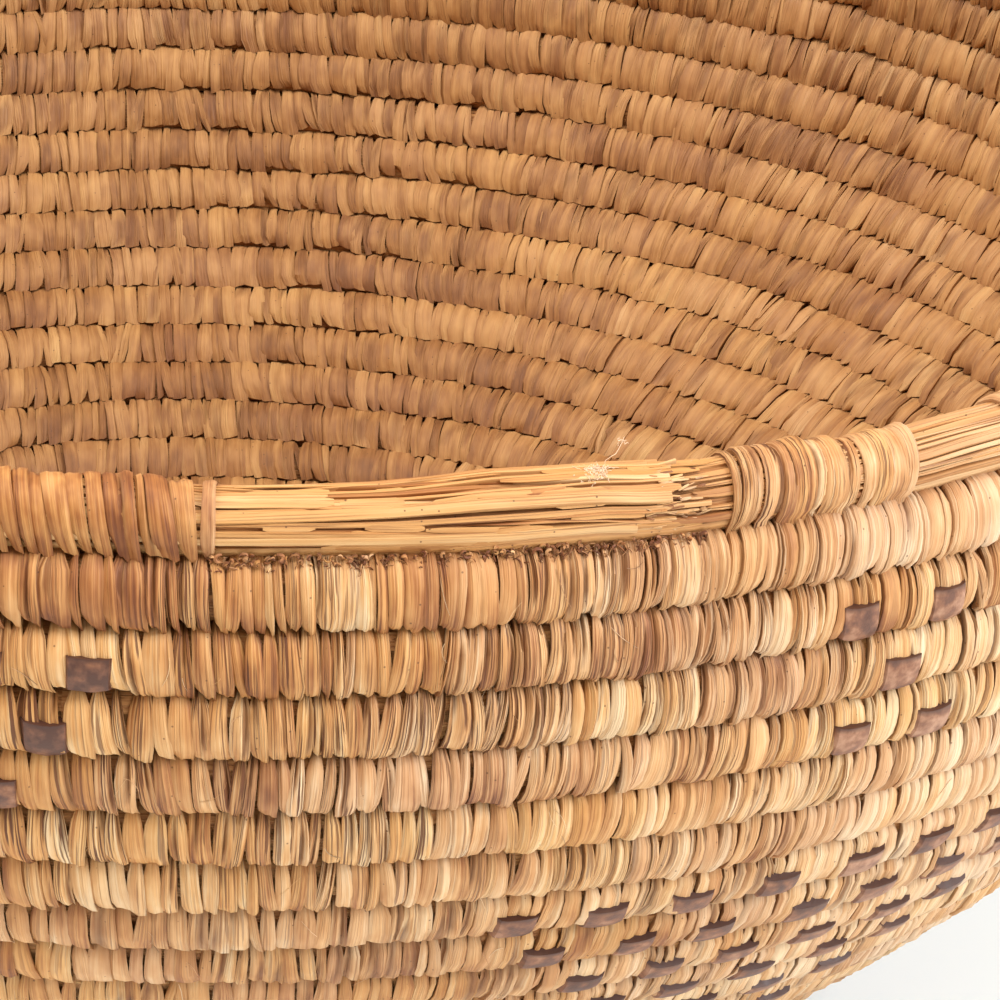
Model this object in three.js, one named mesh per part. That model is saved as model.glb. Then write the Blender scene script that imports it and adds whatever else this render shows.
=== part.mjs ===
// Coiled basket bowl: a grass bundle wound in one spiral from the middle of the base up to the mouth.
// Millimetres, +Z up. The base's underside lies on z = 0, the bowl's axis is Z and its front faces -Y.
import * as THREE from "three";

const degree = Math.PI / 180;
const fullTurn = 2 * Math.PI;

// The wall's own line, from the seam under the rim down to the middle of the base.
const mouthRadius = 186; // middle of the wall, right under the rim
const mouthLean = -14 * degree; // below the rim the wall first runs outwards
const flankLean = 50 * degree; // and further down it leans in this far from upright
const curveLength = 144; // along the wall, from one lean to the other
const flankEnd = 160; // along the wall, from the rim to where the heel starts
const heelRadius = 30; // bend from the flank into the flat base

// The coil: rows of one wrapped grass bundle.
const coilPitch = 8.4; // from row to row, along the wall
const seamGap = 0.5; // open seam between two rows
const wallThickness = 8.4;
const rowFace = 4.8; // flat face of a row, between the grooves beside it
const stepsPerTurn = 24;
const endClearance = 0.4; // between the ends of two bundles that meet
const knotRadius = 13; // about this far out the coil starts round the start knot
const knotClearance = 0.35;

// Rows in each stretch of coil, from the rim down. What is left over lies flat in the base.
const stretches = [
  { name: "shoulder_coil", rows: 4 },
  { name: "belly_coil", rows: 5 },
  { name: "upper_flank_coil", rows: 5 },
  { name: "lower_flank_coil", rows: 5 },
  { name: "heel_coil", rows: 3 },
];

// The rim: one thicker, unwrapped bundle that lashings hold down.
const rimDiameter = 9.2;
const rimSides = 8;
const rimTaperTurns = 0.12; // the bundle thins out towards its end over this share of a turn
const rimTaperEnd = 0.35; // share of the full diameter left at its very end
const lashingCount = 25;
const lostLashing = 12; // this one, counted from the rim's seam, has worn away
const lostLashingAngle = 10.15 * degree; // where it was, to the right of the front
const lashingLength = 31;
const lashingThickness = 0.6;
const lashingClearance = 0.3; // round the rim bundle
const lashingSeat = 0.4; // above the seam line of the row below

// Leather strips: each runs one turn in the groove under its row and comes out as tabs over the row.
const crossCount = 10; // crosses of five tabs, spread over three rows
const crossAngle = 28.7 * degree;
const crossSpacing = 36.14 * degree;
const crossSpread = 1.95 * degree; // from a cross's middle to its arms
const crossRows = [
  { row: 2, arms: [-1, 1] },
  { row: 3, arms: [0] },
  { row: 4, arms: [-1, 1] },
];
const tabLength = 6;
const leatherThickness = 0.7;
const leatherClearance = 0.35;
const tabTop = 0.6; // from the row's middle down to the tab's upper edge
const tabSlant = 0.75; // the tab's lower edge lies this much closer to the wall
const tabHeight = 3.6;
const tabRamp = 0.5; // length over which a strip comes out of the groove, and again up over the row
const laceWidth = 1.2; // the hidden strip between two tabs, rolled up in the groove
const laceDepth = 1.7; // from the row's outer face to the lace's outer side

const lashingAngle = fullTurn / lashingCount;
const rimSeamAngle = lostLashingAngle + (lostLashing - 0.5) * lashingAngle;
const stepAngle = fullTurn / stepsPerTurn;
const rimLift = lashingSeat + lashingThickness + lashingClearance;

// How far the wall leans in from upright, at a distance along it from the rim.
function leanAt(along) {
  if (along < curveLength)
    return mouthLean + (flankLean - mouthLean) * (1 - (1 - along / curveLength) ** 2);
  return Math.min(flankLean + Math.max(0, along - flankEnd) / heelRadius, 90 * degree);
}

// The wall's line in short straight pieces, from above the rim to the axis.
function traceWall() {
  const piece = 0.25;
  const above = 3 * rimDiameter;
  const points = [{ along: -above, r: 0, z: 0 }];
  let seam = points[0];
  for (let i = 1; i < 8000; i += 1) {
    const last = points[i - 1];
    const along = -above + i * piece;
    const lean = leanAt(along - piece / 2);
    const point = {
      along,
      r: last.r - piece * Math.sin(lean),
      z: last.z - piece * Math.cos(lean),
    };
    points.push(point);
    if (Math.abs(along) < piece / 2) seam = point;
    if (along > 0 && point.r - seam.r < -mouthRadius) break;
  }
  const floor = points[points.length - 1].z;
  return points.map((p) => ({
    along: p.along,
    r: p.r - seam.r + mouthRadius,
    z: p.z - floor + wallThickness / 2,
  }));
}

const wallLine = traceWall();

function wallAt(along) {
  const place = (along - wallLine[0].along) / (wallLine[1].along - wallLine[0].along);
  const i = Math.max(0, Math.min(wallLine.length - 2, Math.floor(place)));
  const share = place - i;
  return {
    r: THREE.MathUtils.lerp(wallLine[i].r, wallLine[i + 1].r, share),
    z: THREE.MathUtils.lerp(wallLine[i].z, wallLine[i + 1].z, share),
    lean: leanAt(along),
  };
}

// A point off the wall's line: out of the wall's face by out, and down along the wall by down.
function offWall(angle, along, out, down) {
  const { r, z, lean } = wallAt(along);
  const reach = r + out * Math.cos(lean) - down * Math.sin(lean);
  const height = z - out * Math.sin(lean) - down * Math.cos(lean);
  return new THREE.Vector3(reach * Math.sin(angle), -reach * Math.cos(angle), height);
}

// The same off a coil row. Steps count round the coil from its top end; between two steps a row is straight.
function offRow(step, out, down) {
  const corner = (whole) =>
    offWall(rimSeamAngle + whole * stepAngle, (coilPitch * whole) / stepsPerTurn, out, down);
  const lower = Math.floor(step);
  const point = corner(lower);
  return step > lower ? point.lerp(corner(lower + 1), step - lower) : point;
}

// One closed tube through cross-sections that all have the same number of points.
function tube(sections) {
  const sides = sections[0].length;
  const index = [];
  for (let i = 0; i + 1 < sections.length; i += 1)
    for (let j = 0; j < sides; j += 1) {
      const k = (j + 1) % sides;
      const [a, b, c, d] = [i * sides + j, i * sides + k, (i + 1) * sides + k, (i + 1) * sides + j];
      index.push(a, c, b, a, d, c);
    }
  const last = (sections.length - 1) * sides;
  for (let j = 1; j + 1 < sides; j += 1) index.push(0, j, j + 1, last, last + j + 1, last + j);
  return new THREE.BufferGeometry().setFromPoints(sections.flat()).setIndex(index);
}

// A tube with a bore: outer and inner cross-sections in pairs.
function sleeve(outer, inner) {
  const sides = outer[0].length;
  const innerStart = outer.length * sides;
  const index = [];
  const quad = (a, b, c, d) => index.push(a, c, b, a, d, c);
  for (let i = 0; i + 1 < outer.length; i += 1)
    for (let j = 0; j < sides; j += 1) {
      const k = (j + 1) % sides;
      const [a, b, c, d] = [i * sides + j, i * sides + k, (i + 1) * sides + k, (i + 1) * sides + j];
      quad(a, b, c, d);
      quad(innerStart + a, innerStart + d, innerStart + c, innerStart + b);
    }
  const end = (outer.length - 1) * sides;
  for (let j = 0; j < sides; j += 1) {
    const k = (j + 1) % sides;
    quad(j, innerStart + j, innerStart + k, k);
    quad(end + j, end + k, innerStart + end + k, innerStart + end + j);
  }
  return new THREE.BufferGeometry()
    .setFromPoints([...outer.flat(), ...inner.flat()])
    .setIndex(index);
}

// Whole steps from one place to another, with both ends where they are asked for.
function stepsBetween(from, to) {
  const steps = [from];
  for (let step = Math.floor(from) + 1; step < to; step += 1) steps.push(step);
  return [...steps, to];
}

const halfRow = (coilPitch - seamGap) / 2;

function rowSection(step) {
  const [face, half] = [wallThickness / 2, rowFace / 2];
  return [
    offRow(step, face, -half),
    offRow(step, 0, -halfRow),
    offRow(step, -face, -half),
    offRow(step, -face, half),
    offRow(step, 0, halfRow),
    offRow(step, face, half),
  ];
}

function stepClearance(step) {
  return endClearance / 2 / (offRow(step, 0, 0).setZ(0).length() * stepAngle);
}

function coilStretch(firstStep, lastStep) {
  const from = firstStep + stepClearance(firstStep);
  const to = lastStep - stepClearance(lastStep);
  return tube(stepsBetween(from, to).map(rowSection));
}

// The least open gap between a stretch's own turns, on its facing edges.
function leastSelfGap(firstStep, lastStep) {
  let least = Infinity;
  for (let step = firstStep; step + stepsPerTurn <= lastStep; step += 1) {
    const edge = offRow(step, 0, halfRow);
    const next = offRow(step + stepsPerTurn, 0, -halfRow);
    least = Math.min(least, edge.distanceTo(next));
  }
  return least;
}

function coilEndStep() {
  let step = 0;
  while (wallAt((coilPitch * (step + 1)) / stepsPerTurn).r > knotRadius) step += 1;
  return step;
}

// The start knot fills the middle of the base, inside the coil's first turn and past its blunt end.
function startKnot(endStep) {
  const shape = new THREE.Shape();
  const past = stepClearance(endStep) + knotClearance / (knotRadius * stepAngle);
  for (let i = 0; i <= stepsPerTurn; i += 1) {
    const step = endStep - stepsPerTurn + (i === 0 ? past : i);
    const point = offRow(step, 0, halfRow + knotClearance);
    if (i === 0) shape.moveTo(point.x, point.y);
    else shape.lineTo(point.x, point.y);
  }
  return new THREE.ExtrudeGeometry(shape, { depth: wallThickness, bevelEnabled: false });
}

// The rim bundle's cross-section a share of a turn past its start, grown by the given margin.
function rimSection(turn, margin) {
  const taper = Math.max(0, (turn - (1 - rimTaperTurns)) / rimTaperTurns);
  const radius = (rimDiameter / 2) * THREE.MathUtils.lerp(1, rimTaperEnd, taper);
  const along = coilPitch * (0.5 - turn) - rimLift - radius;
  const corner = (radius + margin) / Math.cos(Math.PI / rimSides);
  const points = [];
  for (let i = 0; i < rimSides; i += 1) {
    const at = ((i + 0.5) * fullTurn) / rimSides;
    const [out, down] = [corner * Math.cos(at), corner * Math.sin(at)];
    points.push(offWall(rimSeamAngle - turn * fullTurn, along, out, down));
  }
  return points;
}

// Where a lashing starts, its middle and its end, in shares of a turn past the rim's start.
function lashingTurns(number) {
  const middle = (number - 0.5) / lashingCount;
  const half = lashingLength / 2 / (mouthRadius * fullTurn);
  return [middle - half, middle, middle + half];
}

function rimBundle() {
  const clearance = endClearance / 2 / (mouthRadius * fullTurn);
  const turns = [clearance];
  for (let number = 1; number <= lashingCount; number += 1) turns.push(...lashingTurns(number));
  turns.push(1 - clearance);
  return tube(turns.map((turn) => rimSection(turn, 0)));
}

function lashing(number) {
  const turns = lashingTurns(number);
  return sleeve(
    turns.map((turn) => rimSection(turn, lashingClearance + lashingThickness)),
    turns.map((turn) => rimSection(turn, lashingClearance)),
  );
}

// A leather strip's cross-section where it hides in the groove under its row.
function laceSection(step) {
  const outer = wallThickness / 2 - laceDepth;
  const middle = coilPitch / 2;
  return [
    offRow(step, outer, middle - laceWidth / 2),
    offRow(step, outer - laceWidth, middle - laceWidth / 2),
    offRow(step, outer - laceWidth, middle + laceWidth / 2),
    offRow(step, outer, middle + laceWidth / 2),
  ];
}

// Where it stands out of the groove beside a tab.
function lipSection(step) {
  const face = wallThickness / 2 + leatherClearance;
  const middle = coilPitch / 2;
  return [
    offRow(step, face + leatherThickness, middle - laceWidth / 2),
    offRow(step, face, middle - laceWidth / 2),
    offRow(step, face, middle + laceWidth / 2),
    offRow(step, face + leatherThickness, middle + laceWidth / 2),
  ];
}

// And where it lies as a tab over the lower half of the row.
function tabSection(step) {
  const face = wallThickness / 2 + leatherClearance;
  const lean = tabSlant / tabHeight;
  const top = face + lean * (rowFace / 2 - tabTop);
  return [
    offRow(step, top + leatherThickness, tabTop),
    offRow(step, top, tabTop),
    offRow(step, top - tabSlant, tabTop + tabHeight),
    offRow(step, top - tabSlant + leatherThickness, tabTop + tabHeight),
  ];
}

function leatherStrip({ row, arms }) {
  const firstStep = (row - 1) * stepsPerTurn;
  const stepLength = mouthRadius * stepAngle;
  const halfTab = tabLength / 2 / stepLength;
  const ramp = tabRamp / stepLength;
  const tabs = [];
  for (let i = 0; i < crossCount; i += 1)
    for (const arm of arms) {
      const angle = crossAngle + i * crossSpacing + arm * crossSpread - rimSeamAngle;
      tabs.push(firstStep + THREE.MathUtils.euclideanModulo(angle, fullTurn) / stepAngle);
    }
  tabs.sort((a, b) => a - b);

  const sections = [];
  let from = firstStep + stepClearance(firstStep);
  const laceTo = (to) => sections.push(...stepsBetween(from, to).map(laceSection));
  for (const tab of tabs) {
    laceTo(tab - halfTab - 2 * ramp);
    sections.push(lipSection(tab - halfTab - ramp));
    for (const step of stepsBetween(tab - halfTab, tab + halfTab)) sections.push(tabSection(step));
    sections.push(lipSection(tab + halfTab + ramp));
    from = tab + halfTab + 2 * ramp;
  }
  laceTo(firstStep + stepsPerTurn - stepClearance(firstStep));
  return tube(sections);
}

const coilGrass = new THREE.MeshStandardMaterial({ color: 0xcf9f64, roughness: 0.75, metalness: 0 });
const knotGrass = new THREE.MeshStandardMaterial({ color: 0xb98650, roughness: 0.8, metalness: 0 });
const rimGrass = new THREE.MeshStandardMaterial({ color: 0xe8bd7e, roughness: 0.55, metalness: 0 });
const splitPalm = new THREE.MeshStandardMaterial({ color: 0xd8a866, roughness: 0.6, metalness: 0 });
const leather = new THREE.MeshStandardMaterial({ color: 0x806058, roughness: 0.65, metalness: 0 });

const basket = new THREE.Group();

function add(name, geometry, material) {
  const mesh = new THREE.Mesh(geometry, material);
  mesh.name = name;
  basket.add(mesh);
}

const endStep = coilEndStep();
let topStep = 0;
for (const { name, rows } of stretches) {
  const bottomStep = topStep + rows * stepsPerTurn;
  add(name, coilStretch(topStep, bottomStep), coilGrass);
  console.log(name, "least gap between its turns", leastSelfGap(topStep, bottomStep).toFixed(2));
  topStep = bottomStep;
}
add("base_coil", coilStretch(topStep, endStep), coilGrass);
console.log("base_coil least gap between its turns", leastSelfGap(topStep, endStep).toFixed(2));
add("start_knot", startKnot(endStep), knotGrass);

add("rim_bundle", rimBundle(), rimGrass);
for (let number = 1; number <= lashingCount; number += 1)
  if (number !== lostLashing)
    add("rim_lashing_" + String(number).padStart(2, "0"), lashing(number), splitPalm);
for (const strip of crossRows)
  add("leather_strip_row_" + strip.row, leatherStrip(strip), leather);

export default basket;
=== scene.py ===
import math

import bmesh
import bpy
import numpy as np
from mathutils import Matrix, Vector


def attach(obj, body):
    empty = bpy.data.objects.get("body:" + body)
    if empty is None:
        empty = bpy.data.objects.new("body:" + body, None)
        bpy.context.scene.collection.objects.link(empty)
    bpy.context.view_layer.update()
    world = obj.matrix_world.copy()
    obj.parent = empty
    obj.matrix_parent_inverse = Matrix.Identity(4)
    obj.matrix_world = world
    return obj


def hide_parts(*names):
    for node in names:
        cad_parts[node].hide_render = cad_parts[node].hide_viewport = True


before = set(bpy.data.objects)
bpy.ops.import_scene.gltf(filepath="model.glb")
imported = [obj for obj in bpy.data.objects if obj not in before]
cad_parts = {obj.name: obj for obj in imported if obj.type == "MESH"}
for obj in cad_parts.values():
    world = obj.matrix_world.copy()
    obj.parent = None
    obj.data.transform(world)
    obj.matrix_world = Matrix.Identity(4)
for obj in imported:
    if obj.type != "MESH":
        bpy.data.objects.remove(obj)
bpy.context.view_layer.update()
mm = 0.001
fullTurn = 2 * math.pi
dice = np.random.default_rng(41)
print("frame loaded")


def rising(value, start, end):
    # 0 at start, 1 at end, and steady beyond them
    return np.clip((value - start) / (end - start), 0, 1)


def between(value, start, end, fade):
    # 1 from start to end, with a fade to 0 inside each
    return np.clip(np.minimum(value - start, end - value) / fade, 0, 1)


def hump(value, places):
    # rises from the first place to the second, and falls from the third to the fourth
    return np.interp(value, places, [0, 1, 1, 0])


# The wall as the coil follows it. Distances along the wall start at the seam under the rim.
bowl = {
    "mouthRadius": 186 * mm,
    "mouthLean": math.radians(-14),
    "flankLean": math.radians(50),
    "curveLength": 144 * mm,
    "flankEnd": 160 * mm,
    "heelRadius": 30 * mm,
    "traced": (-40 * mm, 330 * mm, 0.25 * mm),  # start, end and step of the profile
    "coilPitch": 8.4 * mm,
    "wallThickness": 8.4 * mm,
    "lashingPlaces": 25,
    "lostLashing": 12,
    "lostLashingAngle": 10.15,  # degrees from the front towards the right
    "knotRadius": 13 * mm,
    "leastRadius": 3 * mm,
    "wobbleDown": 0.24 * mm,
    "wobbleOut": 0.32 * mm,
    "wobbleRadii": (95 * mm, 135 * mm),  # where the wobble starts, and where it is full
    # slow waves: waves in a turn, radians in a metre down the wall, phase
    "downWaves": [(3, 61, 0.4), (7, -140, 2.1), (12, 95, 4.0), (19, 230, 1.2)],
    "outWaves": [(2, 18, 1.0), (5, -75, 3.3), (9, 160, 5.1), (16, -210, 0.6)],
    "flattened": (150 * mm, 182 * mm),  # here the stitches get flatter, so that the base lies flat
}
pitch = bowl["coilPitch"]
mouthLength = fullTurn * bowl["mouthRadius"]
lashingAngle = fullTurn / bowl["lashingPlaces"]
seamAngle = math.radians(bowl["lostLashingAngle"]) + (bowl["lostLashing"] - 0.5) * lashingAngle


def leanAt(along):
    share = 1 - (1 - along / bowl["curveLength"]) ** 2
    curved = bowl["mouthLean"] + (bowl["flankLean"] - bowl["mouthLean"]) * share
    heel = bowl["flankLean"] + np.maximum(0, along - bowl["flankEnd"]) / bowl["heelRadius"]
    return np.where(along < bowl["curveLength"], curved, np.minimum(heel, math.pi / 2))


def traceWall():
    start, end, piece = bowl["traced"]
    along = np.arange(start, end, piece)
    lean = leanAt(along[:-1] + piece / 2)
    r = np.concatenate([[0], -np.cumsum(np.sin(lean) * piece)])
    z = np.concatenate([[0], -np.cumsum(np.cos(lean) * piece)])
    r += bowl["mouthRadius"] - np.interp(0, along, r)
    z += bowl["wallThickness"] / 2 - z[-1]
    return along, r, z


wallAlong, wallR, wallZ = traceWall()
mouthHeight = float(np.interp(0, wallAlong, wallZ))
coilTurns = float(np.interp(-bowl["knotRadius"], -wallR, wallAlong)) / pitch


def wobble(angle, along, waves):
    return sum(np.sin(k * angle + c * along + p) for k, c, p in waves) / len(waves)


def radiusAt(turns):
    return np.interp(pitch * turns, wallAlong, wallR)


def wallPoint(turns, out, down, shift=0):
    # turns count round the coil from its top end; shift runs along the coil, to the right
    angle = seamAngle + fullTurn * turns + shift / np.maximum(radiusAt(turns), bowl["leastRadius"])
    along = pitch * turns + down
    steady = rising(np.interp(along, wallAlong, wallR), *bowl["wobbleRadii"])
    out = out + bowl["wobbleOut"] * steady * wobble(angle, along, bowl["outWaves"])
    along = along + bowl["wobbleDown"] * steady * wobble(angle, along, bowl["downWaves"])
    lean = leanAt(along)
    reach = np.interp(along, wallAlong, wallR) + out * np.cos(lean)
    z = np.interp(along, wallAlong, wallZ) - out * np.sin(lean)
    return np.stack([reach * np.sin(angle), -reach * np.cos(angle), z], axis=-1)


def turnsAt(row, degrees):
    # where a row passes an angle, in degrees from the front towards the right
    return row - 1 + ((np.radians(degrees) - seamAngle) % fullTurn) / fullTurn


def degreesAt(turns):
    return (np.degrees(seamAngle + fullTurn * np.asarray(turns)) + 180) % 360 - 180


def flattened(turns, share):
    # how far things stand out of the wall: all the way, and a share of it in the base
    return np.interp(pitch * turns, bowl["flattened"], [1, share])


# How age and light change the leaf: browned by age near the bare part of the rim; paler on the right and
# lighter in the lower outside rows, which is painted light; darker deep inside the bowl, which is painted
# shade.
ageAndLight = {
    "brown": 0.23,
    "brownAngles": [-120, -70, 2.7, 3.3],  # degrees from the front: starts, is full to, ends
    # painted light: on the right the leaf is lighter in tone and takes more of the paler colours
    "pale": 0.35,
    "litSideAngles": [8, 34, 110, 170],
    "litSideTone": 0.19,
    "lowRows": (1.5, 4.5),
    "deepRows": (4.5, 7),
    # painted light: the outside rows from row 2 down are lighter in tone
    "lowRowsLight": 0.12,
    "deepInsideShade": -0.09,  # inside the bowl: painted shade, darker from row 5 down
    "litSideWorn": 0.6,  # how much less the leaf has split on the paler right side, and in the low rows
    "lowWorn": 0.5,
    "freshAngles": [20.7, 21.1, 40, 90],  # a paler leaf of row 1
    "freshPale": 0.85,
    "tornAngles": [11, 14, 20.5, 20.8],  # the last of the leaf before it is torn
    "tornTone": 0.03,
    "tornSplit": 0.35,
}


def ageAndLightAt(turns):
    angle = degreesAt(turns)
    brown = ageAndLight["brown"] * hump(angle, ageAndLight["brownAngles"]) * (turns < 1)
    pale = hump(angle, ageAndLight["litSideAngles"])
    return brown, pale, rising(turns, *ageAndLight["lowRows"]), rising(turns, *ageAndLight["deepRows"])


# Templates: one ribbon or one straw, modelled once and bent into every copy.
def startFresh():
    if bpy.context.mode != "OBJECT":
        bpy.ops.object.mode_set(mode="OBJECT")
    bpy.ops.object.select_all(action="DESELECT")


def editEdges(wanted):
    # starts to edit the new object, with only the wanted edges selected
    bpy.ops.object.mode_set(mode="EDIT")
    bpy.ops.mesh.select_mode(type="EDGE")
    shape = bmesh.from_edit_mesh(bpy.context.object.data)
    for part in list(shape.faces) + list(shape.edges) + list(shape.verts):
        part.select_set(False)
    for edge in shape.edges:
        if wanted(edge):
            edge.select_set(True)
    bmesh.update_edit_mesh(bpy.context.object.data)


def readTemplate(columnOf, rowOf, columns, rows):
    bpy.ops.object.mode_set(mode="OBJECT")
    thing = bpy.context.object
    mesh = thing.data
    template = {
        "column": np.array([columnOf(v.co) for v in mesh.vertices]),
        "row": np.array([rowOf(v.co) for v in mesh.vertices]),
        "loops": np.array([loop.vertex_index for loop in mesh.loops]),
        "starts": np.array([face.loop_start for face in mesh.polygons]),
        "columns": columns,
        "rows": rows,
    }
    bpy.data.objects.remove(thing)
    bpy.data.meshes.remove(mesh)
    return template


def ribbonTemplate(columns, rows):
    # a grid whose long sides are joined behind it and whose ends are filled: one closed ribbon
    startFresh()
    bpy.ops.mesh.primitive_grid_add(x_subdivisions=columns, y_subdivisions=rows, size=2)
    editEdges(lambda e: e.is_boundary and abs(e.verts[0].co.x - e.verts[1].co.x) < 0.001)
    bpy.ops.mesh.bridge_edge_loops()
    bpy.ops.mesh.select_all(action="SELECT")
    bpy.ops.mesh.fill_holes(sides=0)
    return readTemplate(lambda c: round((c.x + 1) / 2 * columns), lambda c: round((1 - c.y) / 2 * rows),
                        columns, rows)


def strawTemplate(sides, rings):
    # a closed straw, cut into rings
    startFresh()
    bpy.ops.mesh.primitive_cylinder_add(vertices=sides, radius=1, depth=2, end_fill_type="NGON")
    editEdges(lambda e: abs(e.verts[0].co.z - e.verts[1].co.z) > 1)
    bpy.ops.mesh.subdivide(number_cuts=rings - 1)
    return readTemplate(lambda c: round(math.atan2(c.x, c.y) / fullTurn * sides) % sides,
                        lambda c: round((1 - c.z) / 2 * rings), sides, rings)


def outwardLoops(template, points):
    # the faces' corners, turned round if one copy's signed volume shows that they face inwards
    ends = np.append(template["starts"], len(template["loops"]))
    faces = [template["loops"][start:end] for start, end in zip(ends[:-1], ends[1:])]
    volume = sum(np.dot(points[face[0]], np.cross(points[face[i]], points[face[i + 1]]))
                 for face in faces for i in range(1, len(face) - 1))
    return template["loops"] if volume > 0 else np.concatenate([face[::-1] for face in faces])


def bendCopies(name, template, grid, uv, values, material, replaced=(), smoothAngle=50):
    # grid holds each copy's points by column and row; uv runs across and along it in metres;
    # values are for all copies, by copy, or by copy, column and row
    column, row = template["column"], template["row"]

    def spread(value):
        return np.broadcast_to(value, grid.shape[:3])[:, column, row].astype(np.float32)

    points = grid[:, column, row, :]
    copies, size = points.shape[:2]
    oneLoops = outwardLoops(template, points[0] - points[0].mean(axis=0))
    number = np.arange(copies)[:, None]
    loops = (oneLoops[None, :] + size * number).ravel()
    starts = (template["starts"][None, :] + len(oneLoops) * number).ravel()
    mesh = bpy.data.meshes.new(name)
    mesh.vertices.add(copies * size)
    mesh.vertices.foreach_set("co", points.astype(np.float32).ravel())
    mesh.loops.add(len(loops))
    mesh.loops.foreach_set("vertex_index", loops.astype(np.int32))
    mesh.polygons.add(len(starts))
    mesh.polygons.foreach_set("loop_start", starts.astype(np.int32))
    mesh.update(calc_edges=True)
    layer = mesh.uv_layers.new(name="fibreUv")
    pairs = np.stack([spread(part) for part in uv], axis=-1).reshape(-1, 2)
    layer.uv.foreach_set("vector", pairs[loops].ravel())
    for key, value in {"worn": 1.0, **values}.items():
        value = np.reshape(value, (-1, 1, 1)) if np.ndim(value) == 1 else value
        mesh.attributes.new(key, "FLOAT", "POINT").data.foreach_set("value", spread(value).ravel())
    mesh.materials.append(material)
    piece = bpy.data.objects.new(name, mesh)
    bpy.context.scene.collection.objects.link(piece)
    startFresh()
    piece.select_set(True)
    bpy.context.view_layer.objects.active = piece
    bpy.ops.object.shade_smooth_by_angle(angle=math.radians(smoothAngle))
    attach(piece, "root")
    if replaced:
        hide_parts(*replaced)


# Shader helpers. Colours are red, green and blue out of 255.
def srgb(r, g, b, shade=1):
    return tuple(shade * (c / 255 / 12.92 if c / 255 <= 0.04045 else ((c / 255 + 0.055) / 1.055) ** 2.4)
                 for c in (r, g, b)) + (1.0,)


def node(tree, kind, **settings):
    made = tree.nodes.new(kind)
    for key, value in settings.items():
        setattr(made, key, value)
    return made


def feed(tree, socket, value):
    # a socket takes a plain value or another node's output
    if isinstance(value, (int, float, tuple)):
        socket.default_value = value
    else:
        tree.links.new(value, socket)


def maths(tree, operation, first, second=0.0, clamp=False):
    made = node(tree, "ShaderNodeMath", operation=operation, use_clamp=clamp)
    feed(tree, made.inputs[0], first)
    feed(tree, made.inputs[1], second)
    return made.outputs[0]


def times(tree, first, second):
    return maths(tree, "MULTIPLY", first, second)


def plus(tree, first, second, clamp=False):
    return maths(tree, "ADD", first, second, clamp)


def ramp(tree, value, stops, shade=1):
    # each stop is a place and the colour there
    made = node(tree, "ShaderNodeValToRGB")
    places = made.color_ramp.elements
    while len(places) < len(stops):
        places.new(0.5)
    for place, (position, *colour) in zip(places, stops):
        place.position = position
        place.color = srgb(*colour, shade)
    tree.links.new(value, made.inputs[0])
    return made.outputs[0]


def mask(tree, value, low, high):
    # 0 below low, 1 above high; with low above high it falls instead
    made = node(tree, "ShaderNodeMapRange", clamp=True)
    feed(tree, made.inputs["Value"], value)
    made.inputs["From Min"].default_value = low
    made.inputs["From Max"].default_value = high
    return made.outputs[0]


def mixColour(tree, factor, first, second):
    made = node(tree, "ShaderNodeMix", data_type="RGBA")
    feed(tree, made.inputs[0], factor)
    feed(tree, made.inputs[6], first)
    feed(tree, made.inputs[7], second)
    return made.outputs[2]


def noise(tree, place, scale, detail):
    made = node(tree, "ShaderNodeTexNoise")
    made.inputs["Scale"].default_value = scale
    made.inputs["Detail"].default_value = detail
    tree.links.new(place, made.inputs["Vector"])
    return made.outputs[0]


def raiseBumps(tree, shader, height, strength, depth):
    bump = node(tree, "ShaderNodeBump")
    bump.inputs["Strength"].default_value = strength
    bump.inputs["Distance"].default_value = depth
    tree.links.new(height, bump.inputs["Height"])
    tree.links.new(bump.outputs[0], shader.inputs["Normal"])


def newGroup(name, inputs, outputs):
    tree = bpy.data.node_groups.new(name, "ShaderNodeTree")
    for way, sockets in (("INPUT", inputs), ("OUTPUT", outputs)):
        for label, kind in sockets.items():
            tree.interface.new_socket(name=label, in_out=way, socket_type=f"NodeSocket{kind}")
    return tree, node(tree, "NodeGroupInput"), node(tree, "NodeGroupOutput")


def placeGroup(tree, group, values):
    made = node(tree, "ShaderNodeGroup", node_tree=group)
    for key, value in values.items():
        feed(tree, made.inputs[key], value)
    return made


def newMaterial(name, roughness, specular):
    material = bpy.data.materials.new(name)
    material.use_nodes = True
    shader = material.node_tree.nodes["Principled BSDF"]
    shader.inputs["Roughness"].default_value = roughness
    shader.inputs["Specular IOR Level"].default_value = specular
    return material, material.node_tree, shader


def attribute(tree, name):
    return node(tree, "ShaderNodeAttribute", attribute_name=name).outputs["Fac"]


# Streaks along a leaf or straw. A layer has its width, length, place in the noise and detail.
fibre = {
    "Broad": (2.2, 1.0, 0.0, 1.0),
    "Fine": (0.8, 0.8, 31.0, 1.0),
    "Blotch": (8.0, 0.25, 57.0, 2.0),
    "wide": (1.2, 0.45, 83.0, 1.0),
    "bent": (4.0, 0.6, 119.0, 1.0),
    "opened": (3.0, 0.6, 143.0, 1.0),
    "seedStep": 173.0,
    "wideSlits": (0.58, 0.65),
    "veinSpacing": 1.5,
    "veinSlits": (0.3, 0.85),
    "openVeins": (0.48, 0.62),
    "veinShare": 0.85,
}


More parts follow.
